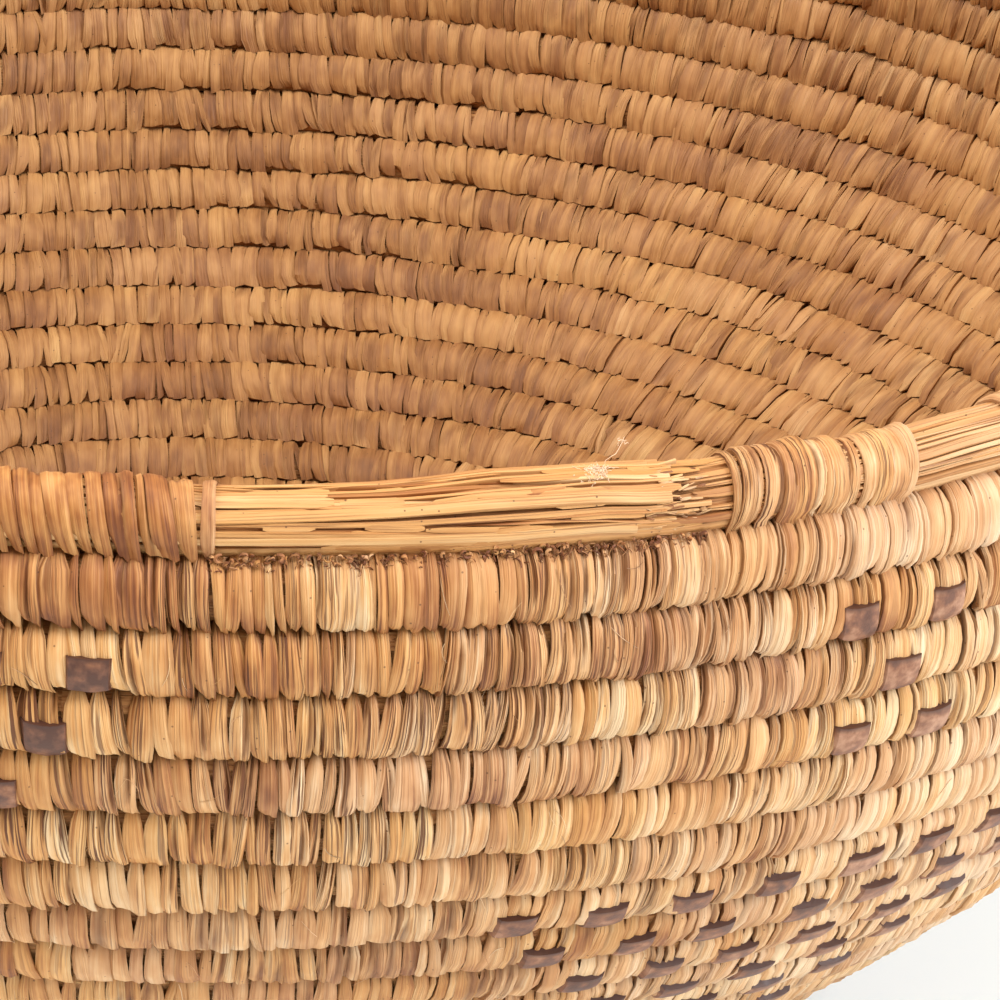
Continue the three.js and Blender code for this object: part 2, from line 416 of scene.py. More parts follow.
def makeFibreGroup():
    tree, given, result = newGroup(
        "fibreStreaks", {"Uv": "Vector", "Seed": "Float", "Width": "Float", "Length": "Float"},
        {"Broad": "Float", "Fine": "Float", "Blotch": "Float", "Slit": "Float"})
    split = node(tree, "ShaderNodeSeparateXYZ")
    tree.links.new(given.outputs["Uv"], split.inputs[0])
    across = times(tree, split.outputs[0], 1 / mm)
    along = times(tree, split.outputs[1], 1 / mm)
    seeded = times(tree, given.outputs["Seed"], fibre["seedStep"])

    def streaks(widthShare, lengthShare, layer, detail):
        place = node(tree, "ShaderNodeCombineXYZ")
        width = times(tree, given.outputs["Width"], widthShare)
        length = times(tree, given.outputs["Length"], lengthShare)
        tree.links.new(maths(tree, "DIVIDE", across, width), place.inputs[0])
        tree.links.new(maths(tree, "DIVIDE", along, length), place.inputs[1])
        tree.links.new(plus(tree, seeded, layer), place.inputs[2])
        return noise(tree, place.outputs[0], 1.0, detail)

    for key in ("Broad", "Fine", "Blotch"):
        tree.links.new(streaks(*fibre[key]), result.inputs[key])
    wide = mask(tree, streaks(*fibre["wide"]), *fibre["wideSlits"])
    spacing = times(tree, given.outputs["Width"], fibre["veinSpacing"])
    phase = plus(tree, maths(tree, "DIVIDE", across, spacing), streaks(*fibre["bent"]))
    veins = mask(tree, maths(tree, "SINE", times(tree, phase, fullTurn)), *fibre["veinSlits"])
    opened = mask(tree, streaks(*fibre["opened"]), *fibre["openVeins"])
    thin = times(tree, times(tree, veins, opened), fibre["veinShare"])
    tree.links.new(maths(tree, "MAXIMUM", wide, thin), result.inputs["Slit"])
    return tree


# Patches where handling has darkened the bowl, and a scatter of small specks.
stains = {
    "patchNoise": (55.0, 4.0),
    "patches": (0.48, 0.7),
    "speckScale": 950.0,
    "speckSize": (0.16, 0.1),
    "speckShare": (0.88, 0.9),
    "speckColour": srgb(80, 48, 28),
}


def makeStainGroup():
    tree, given, result = newGroup(
        "ageStains", {"Color": "Color", "Stain Color": "Color", "Stain": "Float", "Speck": "Float"},
        {"Color": "Color"})
    place = node(tree, "ShaderNodeTexCoord").outputs["Object"]
    patches = mask(tree, noise(tree, place, *stains["patchNoise"]), *stains["patches"])
    amount = times(tree, patches, given.outputs["Stain"])
    stained = mixColour(tree, amount, given.outputs["Color"], given.outputs["Stain Color"])
    cells = node(tree, "ShaderNodeTexVoronoi")
    cells.inputs["Scale"].default_value = stains["speckScale"]
    tree.links.new(place, cells.inputs["Vector"])
    picked = node(tree, "ShaderNodeSeparateColor")
    tree.links.new(cells.outputs["Color"], picked.inputs[0])
    dots = times(tree, mask(tree, cells.outputs["Distance"], *stains["speckSize"]),
                 mask(tree, picked.outputs[0], *stains["speckShare"]))
    speckle = times(tree, dots, given.outputs["Speck"])
    tree.links.new(mixColour(tree, speckle, stained, stains["speckColour"]), result.inputs["Color"])
    return tree


fibreStreaks = makeFibreGroup()
ageStains = makeStainGroup()


def fibreMaterial(name, look):
    # tone picks the colour, streaks vary it, slits and painted shade darken it, and bumps raise the fibres
    material, tree, shader = newMaterial(name, look["roughness"], look["specular"])
    streaks = placeGroup(tree, fibreStreaks, {
        "Uv": node(tree, "ShaderNodeUVMap", uv_map="fibreUv").outputs[0],
        "Seed": attribute(tree, "seed"),
        "Width": look["streakWidth"],
        "Length": look["streakLength"],
    })
    value = attribute(tree, "tone")
    worn = attribute(tree, "worn")
    for key in ("Broad", "Fine", "Blotch"):
        varied = times(tree, maths(tree, "SUBTRACT", streaks.outputs[key], 0.5), look[key])
        if key == "Fine":
            varied = times(tree, varied, mask(tree, worn, *look["wornFine"]))
        value = plus(tree, value, varied)
    # on the bowl's right side the tint towards the paler colours is painted light
    colour = mixColour(tree, attribute(tree, "tint"), ramp(tree, value, look["colours"], look["shade"]),
                       ramp(tree, value, look["paleColours"], look["shade"]))
    torn = times(tree, streaks.outputs["Slit"], worn)
    slit = times(tree, torn, look["slit"])
    # painted shade: creases, gaps, folds and the tops under the row above darken through the paintedShade
    # attribute; the slits share its colour
    dark = maths(tree, "MAXIMUM", slit, times(tree, attribute(tree, "paintedShade"), look["paintedShade"]))
    aged = placeGroup(tree, ageStains, {
        "Color": mixColour(tree, dark, colour, look["slitAndShadeColour"]),
        "Stain": look["stain"],
        "Speck": look["speck"],
        "Stain Color": look["stainColour"],
    })
    tree.links.new(aged.outputs[0], shader.inputs["Base Color"])
    gloss = plus(tree, times(tree, streaks.outputs["Broad"], look["glossSpread"]),
                 look["roughness"] - look["glossSpread"] / 2)
    tree.links.new(gloss, shader.inputs["Roughness"])
    height = plus(tree, streaks.outputs["Broad"], times(tree, streaks.outputs["Fine"], look["fineHeight"]))
    height = maths(tree, "SUBTRACT", height, times(tree, torn, look["slitDepth"]))
    raiseBumps(tree, shader, height, look["bump"], look["bumpDepth"])
    return material


leafLook = {
    "roughness": 0.58,
    "glossSpread": 0.3,
    "specular": 0.3,
    "streakWidth": 0.24,  # millimetres, and so is the length
    "streakLength": 20.0,
    "Broad": 0.4,
    "Fine": 0.95,
    "wornFine": (-0.45, 0.9),
    "Blotch": 0.7,
    "slit": 0.95,
    "shade": 0.9,
    "colours": [(0.0, 112, 60, 28), (0.22, 162, 102, 52), (0.45, 198, 140, 80), (0.7, 216, 165, 106),
                (1.0, 232, 198, 152)],
    "paleColours": [(0.0, 104, 60, 38), (0.22, 150, 97, 62), (0.45, 190, 137, 92), (0.7, 212, 165, 122),
                    (1.0, 230, 196, 160)],
    "stain": 0.25,
    "stainColour": srgb(140, 86, 56),
    "speck": 0.7,
    # painted shade: how dark the creases and gaps get, and the colour of that shade and of the slits
    "paintedShade": 0.85,
    "slitAndShadeColour": srgb(88, 46, 20),
    "bump": 1.0,
    "bumpDepth": 0.19 * mm,
    "fineHeight": 0.7,
    "slitDepth": 0.6,
}
# painted shade: a copy of the leaf for the bowl's inside, its colours and shade set apart from the outside's
# to paint the shade inside the bowl; its fine streaks and slits are toned down
shadedInsideLook = {
    **leafLook,
    "Fine": 0.5,
    "slit": 0.4,
    "shade": 0.88,
    "colours": [(0.0, 132, 86, 46), (0.25, 164, 113, 63), (0.5, 190, 139, 84), (0.75, 206, 157, 98),
                (1.0, 220, 176, 116)],
    "paleColours": [(0.0, 126, 82, 50), (0.25, 160, 111, 70), (0.5, 188, 138, 88), (0.75, 206, 158, 106),
                    (1.0, 220, 177, 128)],
    # painted shade: how dark the creases and gaps get, and the colour of that shade and of the slits
    "paintedShade": 0.7,
    "slitAndShadeColour": srgb(104, 60, 30),
    "stain": 0.2,
}
strawLook = {
    **leafLook,
    "roughness": 0.5,
    "streakWidth": 0.22,
    "streakLength": 46.0,
    "Broad": 0.35,
    "Fine": 0.5,
    "Blotch": 0.4,
    "slit": 0.9,
    "shade": 0.82,
    # the colour of the painted shade and of the slits
    "slitAndShadeColour": srgb(112, 62, 28),
    "colours": [(0.0, 124, 70, 34), (0.2, 166, 103, 54), (0.4, 203, 142, 80), (0.65, 219, 164, 102),
                (1.0, 232, 196, 142)],
    "stain": 0.12,
    "speck": 0.8,
    "bump": 0.8,
    "bumpDepth": 0.12 * mm,
}
coreLook = {
    **leafLook,
    "streakWidth": 0.4,
    "streakLength": 16.0,
    "colours": [(0.0, 120, 72, 36), (0.4, 184, 124, 70), (0.75, 216, 160, 100), (1.0, 230, 184, 124)],
    "slit": 0.35,
    "bumpDepth": 0.22 * mm,
}
leafMaterial = fibreMaterial("wrapped_leaf", leafLook)
shadedInsideMaterial = fibreMaterial("wrapped_leaf_inside_shaded", shadedInsideLook)
strawMaterial = fibreMaterial("rim_straw", strawLook)
coreMaterial = fibreMaterial("coil_grass", coreLook)
print("grass materials ready")


# Ribbons of leaf, bent over a row or over the rim bundle. Their surface runs from lane -1 to lane 1,
# and their outer columns fold back under it. Places along them are shares of their length.
ribbon = {
    "foldLane": 0.8,
    "jitter": 0.07,
    "wideTop": 0.6,  # in row 1, where the wider top of a stitch ends
    "ridgeChange": 0.4,  # along a ridge
    "splitStart": (-0.3, 0.4),
    "splitLength": (0.4, 1.1),
    "splitFade": 0.2,
    "endFade": 0.08,
    "endShare": 0.35,  # of its height, left at its ends
    "cornerShares": (0.4, 1.2),  # how round a tip's corners are: where it slants to, and the other
    "fallFrom": 0.4,
    "toneSpread": 0.05,
    # painted shade at the edges where neighbours meet, on the folded-back sides and in deep splits
    "edgeShade": 0.3,
    "foldShade": 0.85,
    "splitShade": 0.9,
    "topShade": (0.3, 0.05),  # painted shade at its top, under the tips of the row above: where it starts, and where it is full
    "uvWidth": 1.2 * mm,
}


def unit(vectors):
    return vectors / np.maximum(np.linalg.norm(vectors, axis=-1, keepdims=True), 1e-9)


def restation(path, rows):
    # evenly numbered stations on a path of (out, down) points
    places = np.linspace(0, len(path) - 1, rows + 1)
    return np.stack([np.interp(places, np.arange(len(path)), path[:, i]) for i in range(2)], axis=-1)


def widthShares(count, t, spans):
    # every ribbon's width from its top to its tip, as shares of its place
    shares = np.stack([dice.uniform(low, high, count) for place, low, high in spans], axis=1)
    return np.array([np.interp(t, [span[0] for span in spans], row) for row in shares])[:, None, :]


def bendRibbons(name, template, path, laid, look, material, replaced, side=1):
    # side is 1 on the bowl's outside and -1 on its inside
    count = len(laid["turns"])
    columns, rows = template["columns"], template["rows"]
    each, lines = (count, 1, 1), (count, columns + 1, 1)
    path = path.reshape(-1, 1, rows + 1, 2)
    heading = unit(np.gradient(path, axis=2))
    t = np.linspace(0, 1, rows + 1)
    lane = np.linspace(-1, 1, columns + 1) * columns / (columns - 2)
    lane[[0, -1]] = (-ribbon["foldLane"], ribbon["foldLane"])
    inner = np.full(columns + 1, True)
    inner[[0, -1]] = False
    inner, lane = inner[None, :, None], lane[None, :, None]

    def one(key):
        return laid[key].reshape(each)

    def chance(spread, shape=each):
        return dice.normal(0, 1, shape) * spread

    half = one("width") / 2 * look["fill"] * widthShares(count, t, look["spans"])
    half = half * (1 + look["topWider"] * (one("turns") < 1) * (1 - rising(t, 0, ribbon["wideTop"])))
    jitter = chance(ribbon["jitter"], lines) * inner
    shift = one("lean") * (2 * t - 1) + one("bow") * np.sin(math.pi * t) + (lane + jitter) * half

    # a crowned leaf with ridges, one edge over its neighbour, and a deep split in some
    ridge = chance(look["ridge"], lines)
    ridge = ridge + chance(look["ridge"] * ribbon["ridgeChange"], (count, columns + 1, rows + 1))
    deep = np.zeros(lines)
    deep[np.arange(count), dice.integers(2, max(3, columns - 1), count), 0] = 1
    start = dice.uniform(*ribbon["splitStart"], each)
    end = start + dice.uniform(*ribbon["splitLength"], each)
    deep = deep * (one("split") > look["splitFrom"]) * between(t, start, end, ribbon["splitFade"])
    near = rising(t, look["tipFrom"], 1) ** 1.5
    tilt = look["tilt"] + chance(look["tiltSpread"]) + chance(look["twist"]) * (2 * t - 1)
    rise = ridge + look["crown"] * (1 - np.abs(lane) ** 3) + chance(look["lift"]) + tilt * lane
    rise = rise + near * chance(look["tipLift"]) - deep * look["splitDepth"]
    closing = ribbon["endShare"] + (1 - ribbon["endShare"]) * between(t, 0, 1, ribbon["endFade"])
    rise = np.where(inner, rise, -look["thickness"]) * closing
    out = path[..., 0] + rise * heading[..., 1]
    corner = np.abs(lane) ** 3 * np.where(one("slant") * lane > 0, *ribbon["cornerShares"])
    down = path[..., 1] - rise * heading[..., 0] + near * (chance(look["tipSpread"]) + one("slant") * lane)
    down = down - near ** 2 * look["round"] * corner - near * one("short")
    down = down + near ** 3 * chance(look["ragged"], lines) * inner
    out = side * out * flattened(one("turns"), look["baseShare"])
    grid = wallPoint(one("turns"), out, down, shift)

    tone = one("tone") + one("fall") * (t - ribbon["fallFrom"]) + chance(ribbon["toneSpread"], lines)
    # painted shade: darker at the edges where neighbours meet, on the folded-back sides, in deep splits,
    # towards the tip, and at the top under the row above
    paintedShade = np.where(inner, ribbon["edgeShade"] * np.abs(lane) ** 6, ribbon["foldShade"])
    paintedShade = paintedShade + deep * ribbon["splitShade"] + near ** 4 * look["tipShade"]
    paintedShade = np.clip(paintedShade + look["topShade"] * rising(t, *ribbon["topShade"]), 0, 1)
    uv = (lane * ribbon["uvWidth"], t * look["length"])
    values = {"tone": tone, "seed": laid["seed"], "tint": laid["tint"], "worn": laid["worn"], "paintedShade": paintedShade}
    bendCopies(name, template, grid, uv, values, material, replaced)


# Leather: thin strips woven along the rows, which show as tabs over the ends of some stitches.
leather = {
    "crosses": 10,
    "crossAngle": 28.85,
    "crossSpacing": 36.14,
    "crossSpread": 1.95,
    "crossRows": {2: [-1, 1], 3: [0], 4: [-1, 1]},
    "lostTabs": [(4, 9, 1)],  # row, cross and arm of a tab that has come away
    "nudged": {(2, 9, 1): 0.2, (3, 9, 0): 0.5, (4, 9, -1): 0.5},  # degrees
    "triangles": 5,
    "triangleAngle": 27.9,
    "triangleTop": 7,
    "triangleRows": 8,
    "triangleSpacing": 4.1,
    "angleNoise": 0.2,
    "columns": 10,
    "rows": 6,
    "width": 6.9 * mm,
    "widthShares": (0.9, 1.08),
    "skew": 0.15 * mm,
    "top": -0.7 * mm,
    "height": 4.25 * mm,
    "margin": 0.3 * mm,  # beside it, where it still shortens the stitches behind it
    "shortens": 0.8 * mm,
    "proud": 0.62 * mm,
    "crown": 0.2 * mm,
    "tucked": 1.3 * mm,
    "sag": 0.45 * mm,
    "sagShares": (0.2, 2.1),
    "ragged": 0.1 * mm,
    "tilt": 0.12 * mm,
    "thickness": 0.5 * mm,
    "tone": 0.36,
    # painted light: tabs on the right side are lighter
    "litSideTone": 0.26,
    "toneSpread": 0.1,
    # painted shadow along the top edge, under the stitches above, and on the hidden back
    "topShade": 0.9,
    "backShade": 0.6,
}


def placeTabs():
    # each row's tabs, by their angles in degrees
    tabs = {}
    for row, arms in leather["crossRows"].items():
        tabs[row] = [leather["crossAngle"] + cross * leather["crossSpacing"] + arm * leather["crossSpread"]
                     + leather["nudged"].get((row, cross, arm), dice.normal(0, leather["angleNoise"]))
                     for cross in range(leather["crosses"]) for arm in arms
                     if (row, cross, arm) not in leather["lostTabs"]]
    for step in range(leather["triangleRows"]):
        count = leather["triangleRows"] - step
        tabs[leather["triangleTop"] + step] = [
            leather["triangleAngle"] + 360 / leather["triangles"] * triangle
            + leather["triangleSpacing"] * (place - (count - 1) / 2) + dice.normal(0, leather["angleNoise"])
            for triangle in range(leather["triangles"]) for place in range(count)]
    return tabs


tabPlaces = placeTabs()


# Stitches: every row of the coil is wrapped in leaf, and each stitch's tip laps over the row below.
stitch = {
    "start": 0.004,  # turns
    "lastTurn": 1.02,  # the stitching goes on this far inside the knot radius
    "leastRadius": 4 * mm,
    "spacing": 2.0 * mm,
    "laterAngles": [-180, -90, -4, 6, 25, 90, 180],  # degrees from the front, and a stitch's width there
    "laterWidths": [2.1, 2.3, 2.35, 1.9, 1.75, 2.0, 2.1],
    "firstAngles": [-180, -60, -20, -3, -1, 12, 25, 180],  # and in row 1
    "firstWidths": [2.1, 2.3, 2.75, 2.75, 1.7, 1.65, 1.6, 2.1],
    "widthSpread": 0.25,
    "widthLimits": (0.5, 1.6),
    "runs": {  # middle, spread among runs that share one leaf, and spread of single stitches
        "tone": (0.48, 0.07, 0.08),
        "fall": (-0.05, 0.16, 0.12),
        "tint": (0.3, 0.25, 0.12),
        "lean": (0, 0.2 * mm, 0.36 * mm),
        "split": (0.45, 0.25, 0.25),
    },
    "runLength": (3, 16),
    "splitRows": [1, 1.6, 5, 7],  # how far the leaf has split, by row
    "splitShares": [-0.05, 0.2, 0.2, 0],
    "wornShare": 1.3,
    "leastWorn": 0.1,
    "leanLimits": (0.7, 1.7),  # a wide stitch leans less than a narrow one
    "firstLean": 0.4,
    "slantWaves": 5,  # round the bowl the stitches lean left and right by turns
    "slantWaveStart": math.radians(5),
    "waveLean": -0.55 * mm,
    "waveBow": 0.5 * mm,
    "bowSpread": 0.16 * mm,
    "meanSlant": 0.35 * mm,
    "waveSlant": -0.42 * mm,
    "slantSpread": 0.16 * mm,
    "lowerSlant": 0.5,  # below row 1
    "fineRows": 6,
}
stitchLook = {
    "fill": 1.07,
    "spans": [(0.2, 0.4, 0.95), (0.42, 0.84, 1.1), (0.75, 0.94, 1.2), (1, 0.74, 1.12)],
    "topWider": 0.4,
    "ridge": 0.05 * mm,
    "crown": 0.25 * mm,
    "lift": 0.13 * mm,
    "tilt": 0.06 * mm,
    "tiltSpread": 0.13 * mm,
    "twist": 0.14 * mm,
    "tipLift": 0.16 * mm,
    "tipFrom": 0.55,
    "tipSpread": 0.2 * mm,
    "round": 0.28 * mm,
    "ragged": 0.15 * mm,
    "thickness": 0.85 * mm,
    "splitFrom": 0.6,
    "splitDepth": 0.5 * mm,
    "baseShare": 0.76,
    "length": 12 * mm,
    # painted shade at the top under the row above, and towards the tip
    "topShade": 0.7,
    "tipShade": 0.1,
}
# From a stitch's tucked top to its tip: out of the wall and down it.
outsidePath = np.array([(0.9, -5.0), (2.2, -4.5), (3.35, -3.7), (4.3, -2.4), (4.85, -0.8), (5.0, 0.9),
                        (4.85, 2.5), (4.45, 3.75), (3.7, 4.55)]) * mm
insidePath = np.array([(2.2, -4.8), (3.4, -3.9), (4.25, -2.0), (4.5, 0.6), (4.3, 3.0), (3.55, 4.6)]) * mm
# Fine and plain are the columns and rows of a stitch, in the upper rows and in the others.
stitchSides = {
    "outside": {
        "side": 1,
        "path": outsidePath,
        "fine": (7, 8),
        "plain": (5, 5),
        "look": stitchLook,
        "material": leafMaterial,
        "ageAndLight": ("low", ageAndLight["lowRowsLight"]),
    },
    "inside": {
        "side": -1,
        "path": insidePath,
        "fine": (4, 5),
        "plain": (4, 4),
        "look": {
            **stitchLook,
            "fill": 1.14,
            "spans": [(0.2, 0.6, 1.0), (0.46, 0.9, 1.1), (0.75, 0.94, 1.15), (1, 0.85, 1.12)],
            "topShade": 0.4,
        },
        "material": shadedInsideMaterial,
        "ageAndLight": ("deep", ageAndLight["deepInsideShade"]),
    },
}


def placeStitches():
    # the middle and the width of each stitch, all along the spiral
    centres = []
    widths = []
    turns = stitch["start"]
    while turns < coilTurns + stitch["lastTurn"]:
        reach = fullTurn * max(float(radiusAt(turns)), stitch["leastRadius"])
        kind = "first" if turns < 1 else "later"
        width = float(np.interp(degreesAt(turns), stitch[kind + "Angles"], stitch[kind + "Widths"])) * mm
        width *= float(np.clip(dice.normal(1, stitch["widthSpread"]), *stitch["widthLimits"]))
        centres.append(turns + width / 2 / reach)
        widths.append(width)
        turns += width / reach
    return np.array(centres), np.array(widths)


def slantWave(turns):
    return np.sin(stitch["slantWaves"] * (seamAngle + fullTurn * turns - stitch["slantWaveStart"]))


def layStitches():
    # one entry for each stitch
    centres, widths = placeStitches()
    count = len(centres)
    laid = {"turns": centres, "width": widths, "seed": dice.random(count)}
    for key, (middle, run, own) in stitch["runs"].items():
        laid[key] = np.empty(count)
        at = 0
        while at < count:
            length = int(dice.integers(*stitch["runLength"]))
            laid[key][at:at + length] = dice.normal(middle, run)
            at += length
        laid[key] += dice.normal(0, own, count)
    brown, pale, laid["low"], laid["deep"] = ageAndLightAt(centres)
    first = centres < 1
    angle = degreesAt(centres)
    pale = np.maximum(pale, ageAndLight["freshPale"] * hump(angle, ageAndLight["freshAngles"]) * first)
    torn = hump(angle, ageAndLight["tornAngles"]) * first
    # painted light: the right side gets a lighter tone and more of the paler colours, and so does the paler
    # leaf of row 1
    laid["tone"] += ageAndLight["litSideTone"] * pale - brown + ageAndLight["tornTone"] * torn
    laid["tint"] = np.clip(laid["tint"] + ageAndLight["pale"] * pale, 0, 1)
    laid["split"] += np.interp(centres, stitch["splitRows"], stitch["splitShares"])
    laid["split"] += ageAndLight["tornSplit"] * torn
    smooth = (1 - ageAndLight["litSideWorn"] * pale) * (1 - ageAndLight["lowWorn"] * laid["deep"])
    laid["worn"] = np.clip(laid["split"] * stitch["wornShare"], stitch["leastWorn"], 1) * smooth
    laid["short"] = np.zeros(count)
    for row, angles in tabPlaces.items():
        for place in turnsAt(row, angles):
            apart = np.abs(centres - place) * fullTurn * radiusAt(place)
            laid["short"][apart < leather["width"] / 2 + leather["margin"]] = leather["shortens"]
    wave = slantWave(centres)
    laid["lean"] *= np.clip(stitch["spacing"] / widths, *stitch["leanLimits"])
    laid["lean"] *= np.where(first, stitch["firstLean"], 1)
    laid["lean"] += stitch["waveLean"] * wave
    laid["bow"] = stitch["waveBow"] * wave + dice.normal(0, stitch["bowSpread"], count)
    laid["slant"] = stitch["meanSlant"] + stitch["waveSlant"] * wave
    laid["slant"] *= np.where(first, 1, stitch["lowerSlant"])
    laid["slant"] += dice.normal(0, stitch["slantSpread"], count)
    return laid


# How the stitches of each stretch of coil are shared among pieces: first and last turn of each.
stretches = {
    "shoulder_coil": [(0, 2), (2, 4)],
    "belly_coil": [(4, 6), (6, 8), (8, 9)],
    "upper_flank_coil": [(9, 11), (11, 12), (12, 14)],
    "lower_flank_coil": [(14, 16.5), (16.5, 19)],
    "heel_coil": [(19, 22)],
    "base_coil": [(22, coilTurns)],
    "start_knot": [(coilTurns, 60)],
}


def makeStitches():
    laid = layStitches()
    templates = {(place, kind): ribbonTemplate(*given[kind])
                 for place, given in stitchSides.items() for kind in ("fine", "plain")}
    for nodeName, parts in stretches.items():
        for part, (first, last) in enumerate(parts, start=1):
            wanted = (laid["turns"] >= first) & (laid["turns"] < last)
            here = {key: value[wanted] for key, value in laid.items()}
            for place, given in stitchSides.items():
                name = f"{nodeName.replace('_coil', '')}_stitches_{part}_{place}"
                template = templates[place, "fine" if last <= stitch["fineRows"] else "plain"]
                path = restation(given["path"], template["rows"])
                # the lower outside rows get painted light, and the deep inside rows painted shade
                rowShare, change = given["ageAndLight"]
                toned = {**here, "tone": here["tone"] + change * here[rowShare]}
                bendRibbons(name, template, path, toned, given["look"], given["material"], [nodeName],
                            given["side"])
    print("stitches laid:", len(laid["turns"]))


makeStitches()


def roundAngles(sides):
    return (np.arange(sides) / sides * fullTurn)[None, :, None]


def blunt(wave, power):
    # powers below 1 make a round section squarer
    return np.sign(wave) * np.abs(wave) ** power


# The grass bundle inside the stitches, which shows where they part.
core = {
    "sides": 20,
    "rings": 28,
    "lengthsInTurn": 2,
    "innerTurns": 0.9,  # it goes on this far inside the knot radius
    "firstTurn": 0.002,
    "overlap": 0.0015,
    "reach": 4.25 * mm,
    "insideReach": 3.5 * mm,
    "halfRow": 4.2 * mm,
    "groove": 0.25 * mm,
    "edge": 0.8,
    "baseShare": 0.85,
    "tone": (0.5, 0.08),
    # painted shade over the whole core, which shows only in the gaps between stitches
    "paintedShade": 0.2,
    "uvRound": 26 * mm,
}


def makeCore():
    lengths = int(core["lengthsInTurn"] * (coilTurns + core["innerTurns"]))
    template = strawTemplate(core["sides"], core["rings"])
    ring = np.linspace(-core["overlap"], 1 / core["lengthsInTurn"] + core["overlap"], core["rings"] + 1)
    turns = (np.arange(lengths) / core["lengthsInTurn"])[:, None, None] + ring
    around = roundAngles(core["sides"])
    groove = core["groove"] * (np.arange(core["sides"]) % 2)[None, :, None]
    reach = np.where(np.cos(around) > 0, core["reach"], core["insideReach"]) - groove
    out = reach * blunt(np.cos(around), core["edge"]) * flattened(turns, core["baseShare"])
    grid = wallPoint(np.maximum(turns, core["firstTurn"]), out, core["halfRow"] * np.sin(around))
    uv = (around / fullTurn * core["uvRound"], fullTurn * radiusAt(turns) * ring)
    values = {"tone": dice.normal(*core["tone"], lengths), "seed": dice.random(lengths),
              "paintedShade": core["paintedShade"]}
    bendCopies("coil_core", template, grid, uv, values, coreMaterial, stretches)
    print("core made")


makeCore()


# The button in the middle of the base, where the coil starts: ribbons crossed over each other.
button = {
    "ribbons": 11,
    "rows": 8,
    "halfLength": 6.2 * mm,
    "width": 2.5 * mm,
    "widthSpread": 0.1,
    "foldLane": 0.8,
    "lanes": [-1, -0.5, 0, 0.5, 1],
    "thickness": 0.6 * mm,
    "crown": 0.12 * mm,
    "turned": math.radians(111.24),  # from one ribbon to the next
    "layer": 0.07 * mm,
    "dome": 1.1 * mm,
    "tone": (0.4, 0.1),
    # painted shade, a little over the whole button
    "paintedShade": 0.15,
    # height, which way it domes, how far, and whether each ribbon lies higher than the last
    "sides": {"inside": (8.2 * mm, 1, 1, 1), "outside": (1.45 * mm, -1, 0.4, 0)},
}


def makeButton():
    count, fold = button["ribbons"], button["foldLane"]
    lanes = np.array([-fold, *button["lanes"], fold])[None, :, None]
    template = ribbonTemplate(lanes.size - 1, button["rows"])
    t = np.linspace(-1, 1, button["rows"] + 1)
    number = np.arange(count)[:, None, None]
    turned = number * button["turned"]
    x = button["halfLength"] * t
    y = lanes * button["width"] / 2 * (1 + button["widthSpread"] * dice.normal(0, 1, (count, 1, 1)))
    crown = np.where(np.abs(lanes) == fold, -button["thickness"], button["crown"] * (1 - lanes ** 2))
    for side, (height, way, domed, layered) in button["sides"].items():
        rise = button["dome"] * (1 - t ** 2) * domed + crown + button["layer"] * number * layered
        grid = np.stack([x * np.cos(turned) - y * np.sin(turned), x * np.sin(turned) + y * np.cos(turned),
                         height + way * rise], axis=-1)
        values = {"tone": dice.normal(*button["tone"], count), "seed": dice.random(count),
                  "paintedShade": button["paintedShade"]}
        bendCopies(f"start_button_{side}", template, grid, (y, x), values, shadedInsideMaterial,
                   ["start_knot"])
    print("start button made")


makeButton()


# The rim: long straws side by side round a bundle, held down by lashings.
rim = {
    "radius": 4.5 * mm,
    "lift": 0.45 * mm,  # above the seam line of row 1
    "taperFrom": 0.12,  # turns before its end at which the bundle starts to thin out
    "taperEnd": 0.35,
    "brokenAt": 18.9,  # degrees, where the straws of the bare part have snapped
    # degrees from the front, and how far the bundle has sagged there, in millimetres
    "slackAngles": [-60, -9, -7.5, -6.6, -5, -3.3, -1.5, 0.6, 7.6, 10.9, 15.8, 17.4, 20, 24.2, 26.5, 29.8,
                    31.6, 60],
    "slack": [0.3, 0.15, 0.5, 0.8, 0.65, 0.35, 0.55, 0.82, 0.87, 0.68, 0.55, 0.9, 1.0, 0.6, 1.1, 1.15,
              0.85, 0.3],
    "swellAngles": [-4, 0.6, 7.6, 10.9, 11.7, 13.3, 15.8, 17.4, 19.5, 24],
    "swell": [0, -0.03, 0.057, 0.18, 0.2, 0.157, 0.133, 0.105, 0.06, 0],
}


def rimScale(turns):
    # the bundle thins out at its end and swells where it is bare
    taper = rim["taperEnd"] + (1 - rim["taperEnd"]) * rising(turns, 0, rim["taperFrom"])
    return taper * (1 + np.interp(degreesAt(turns), rim["swellAngles"], rim["swell"]))


def rimDown(turns):
    # from row 1's middle up to the bundle's middle, which has sagged
    slack = np.interp(degreesAt(turns), rim["slackAngles"], rim["slack"]) * mm
    return -pitch / 2 - rim["lift"] - rim["radius"] * np.minimum(rimScale(turns), 1) + slack


def aroundRim(turns, angle, reach, aside=0, above=0):
    # a place round the bundle, out and down from row 1's middle; reach and aside swell with the bundle
    scale = rimScale(turns)
    reach = scale * reach + above
    aside = scale * aside
    return (reach * np.cos(angle) - aside * np.sin(angle),
            rimDown(turns) + reach * np.sin(angle) + aside * np.cos(angle))


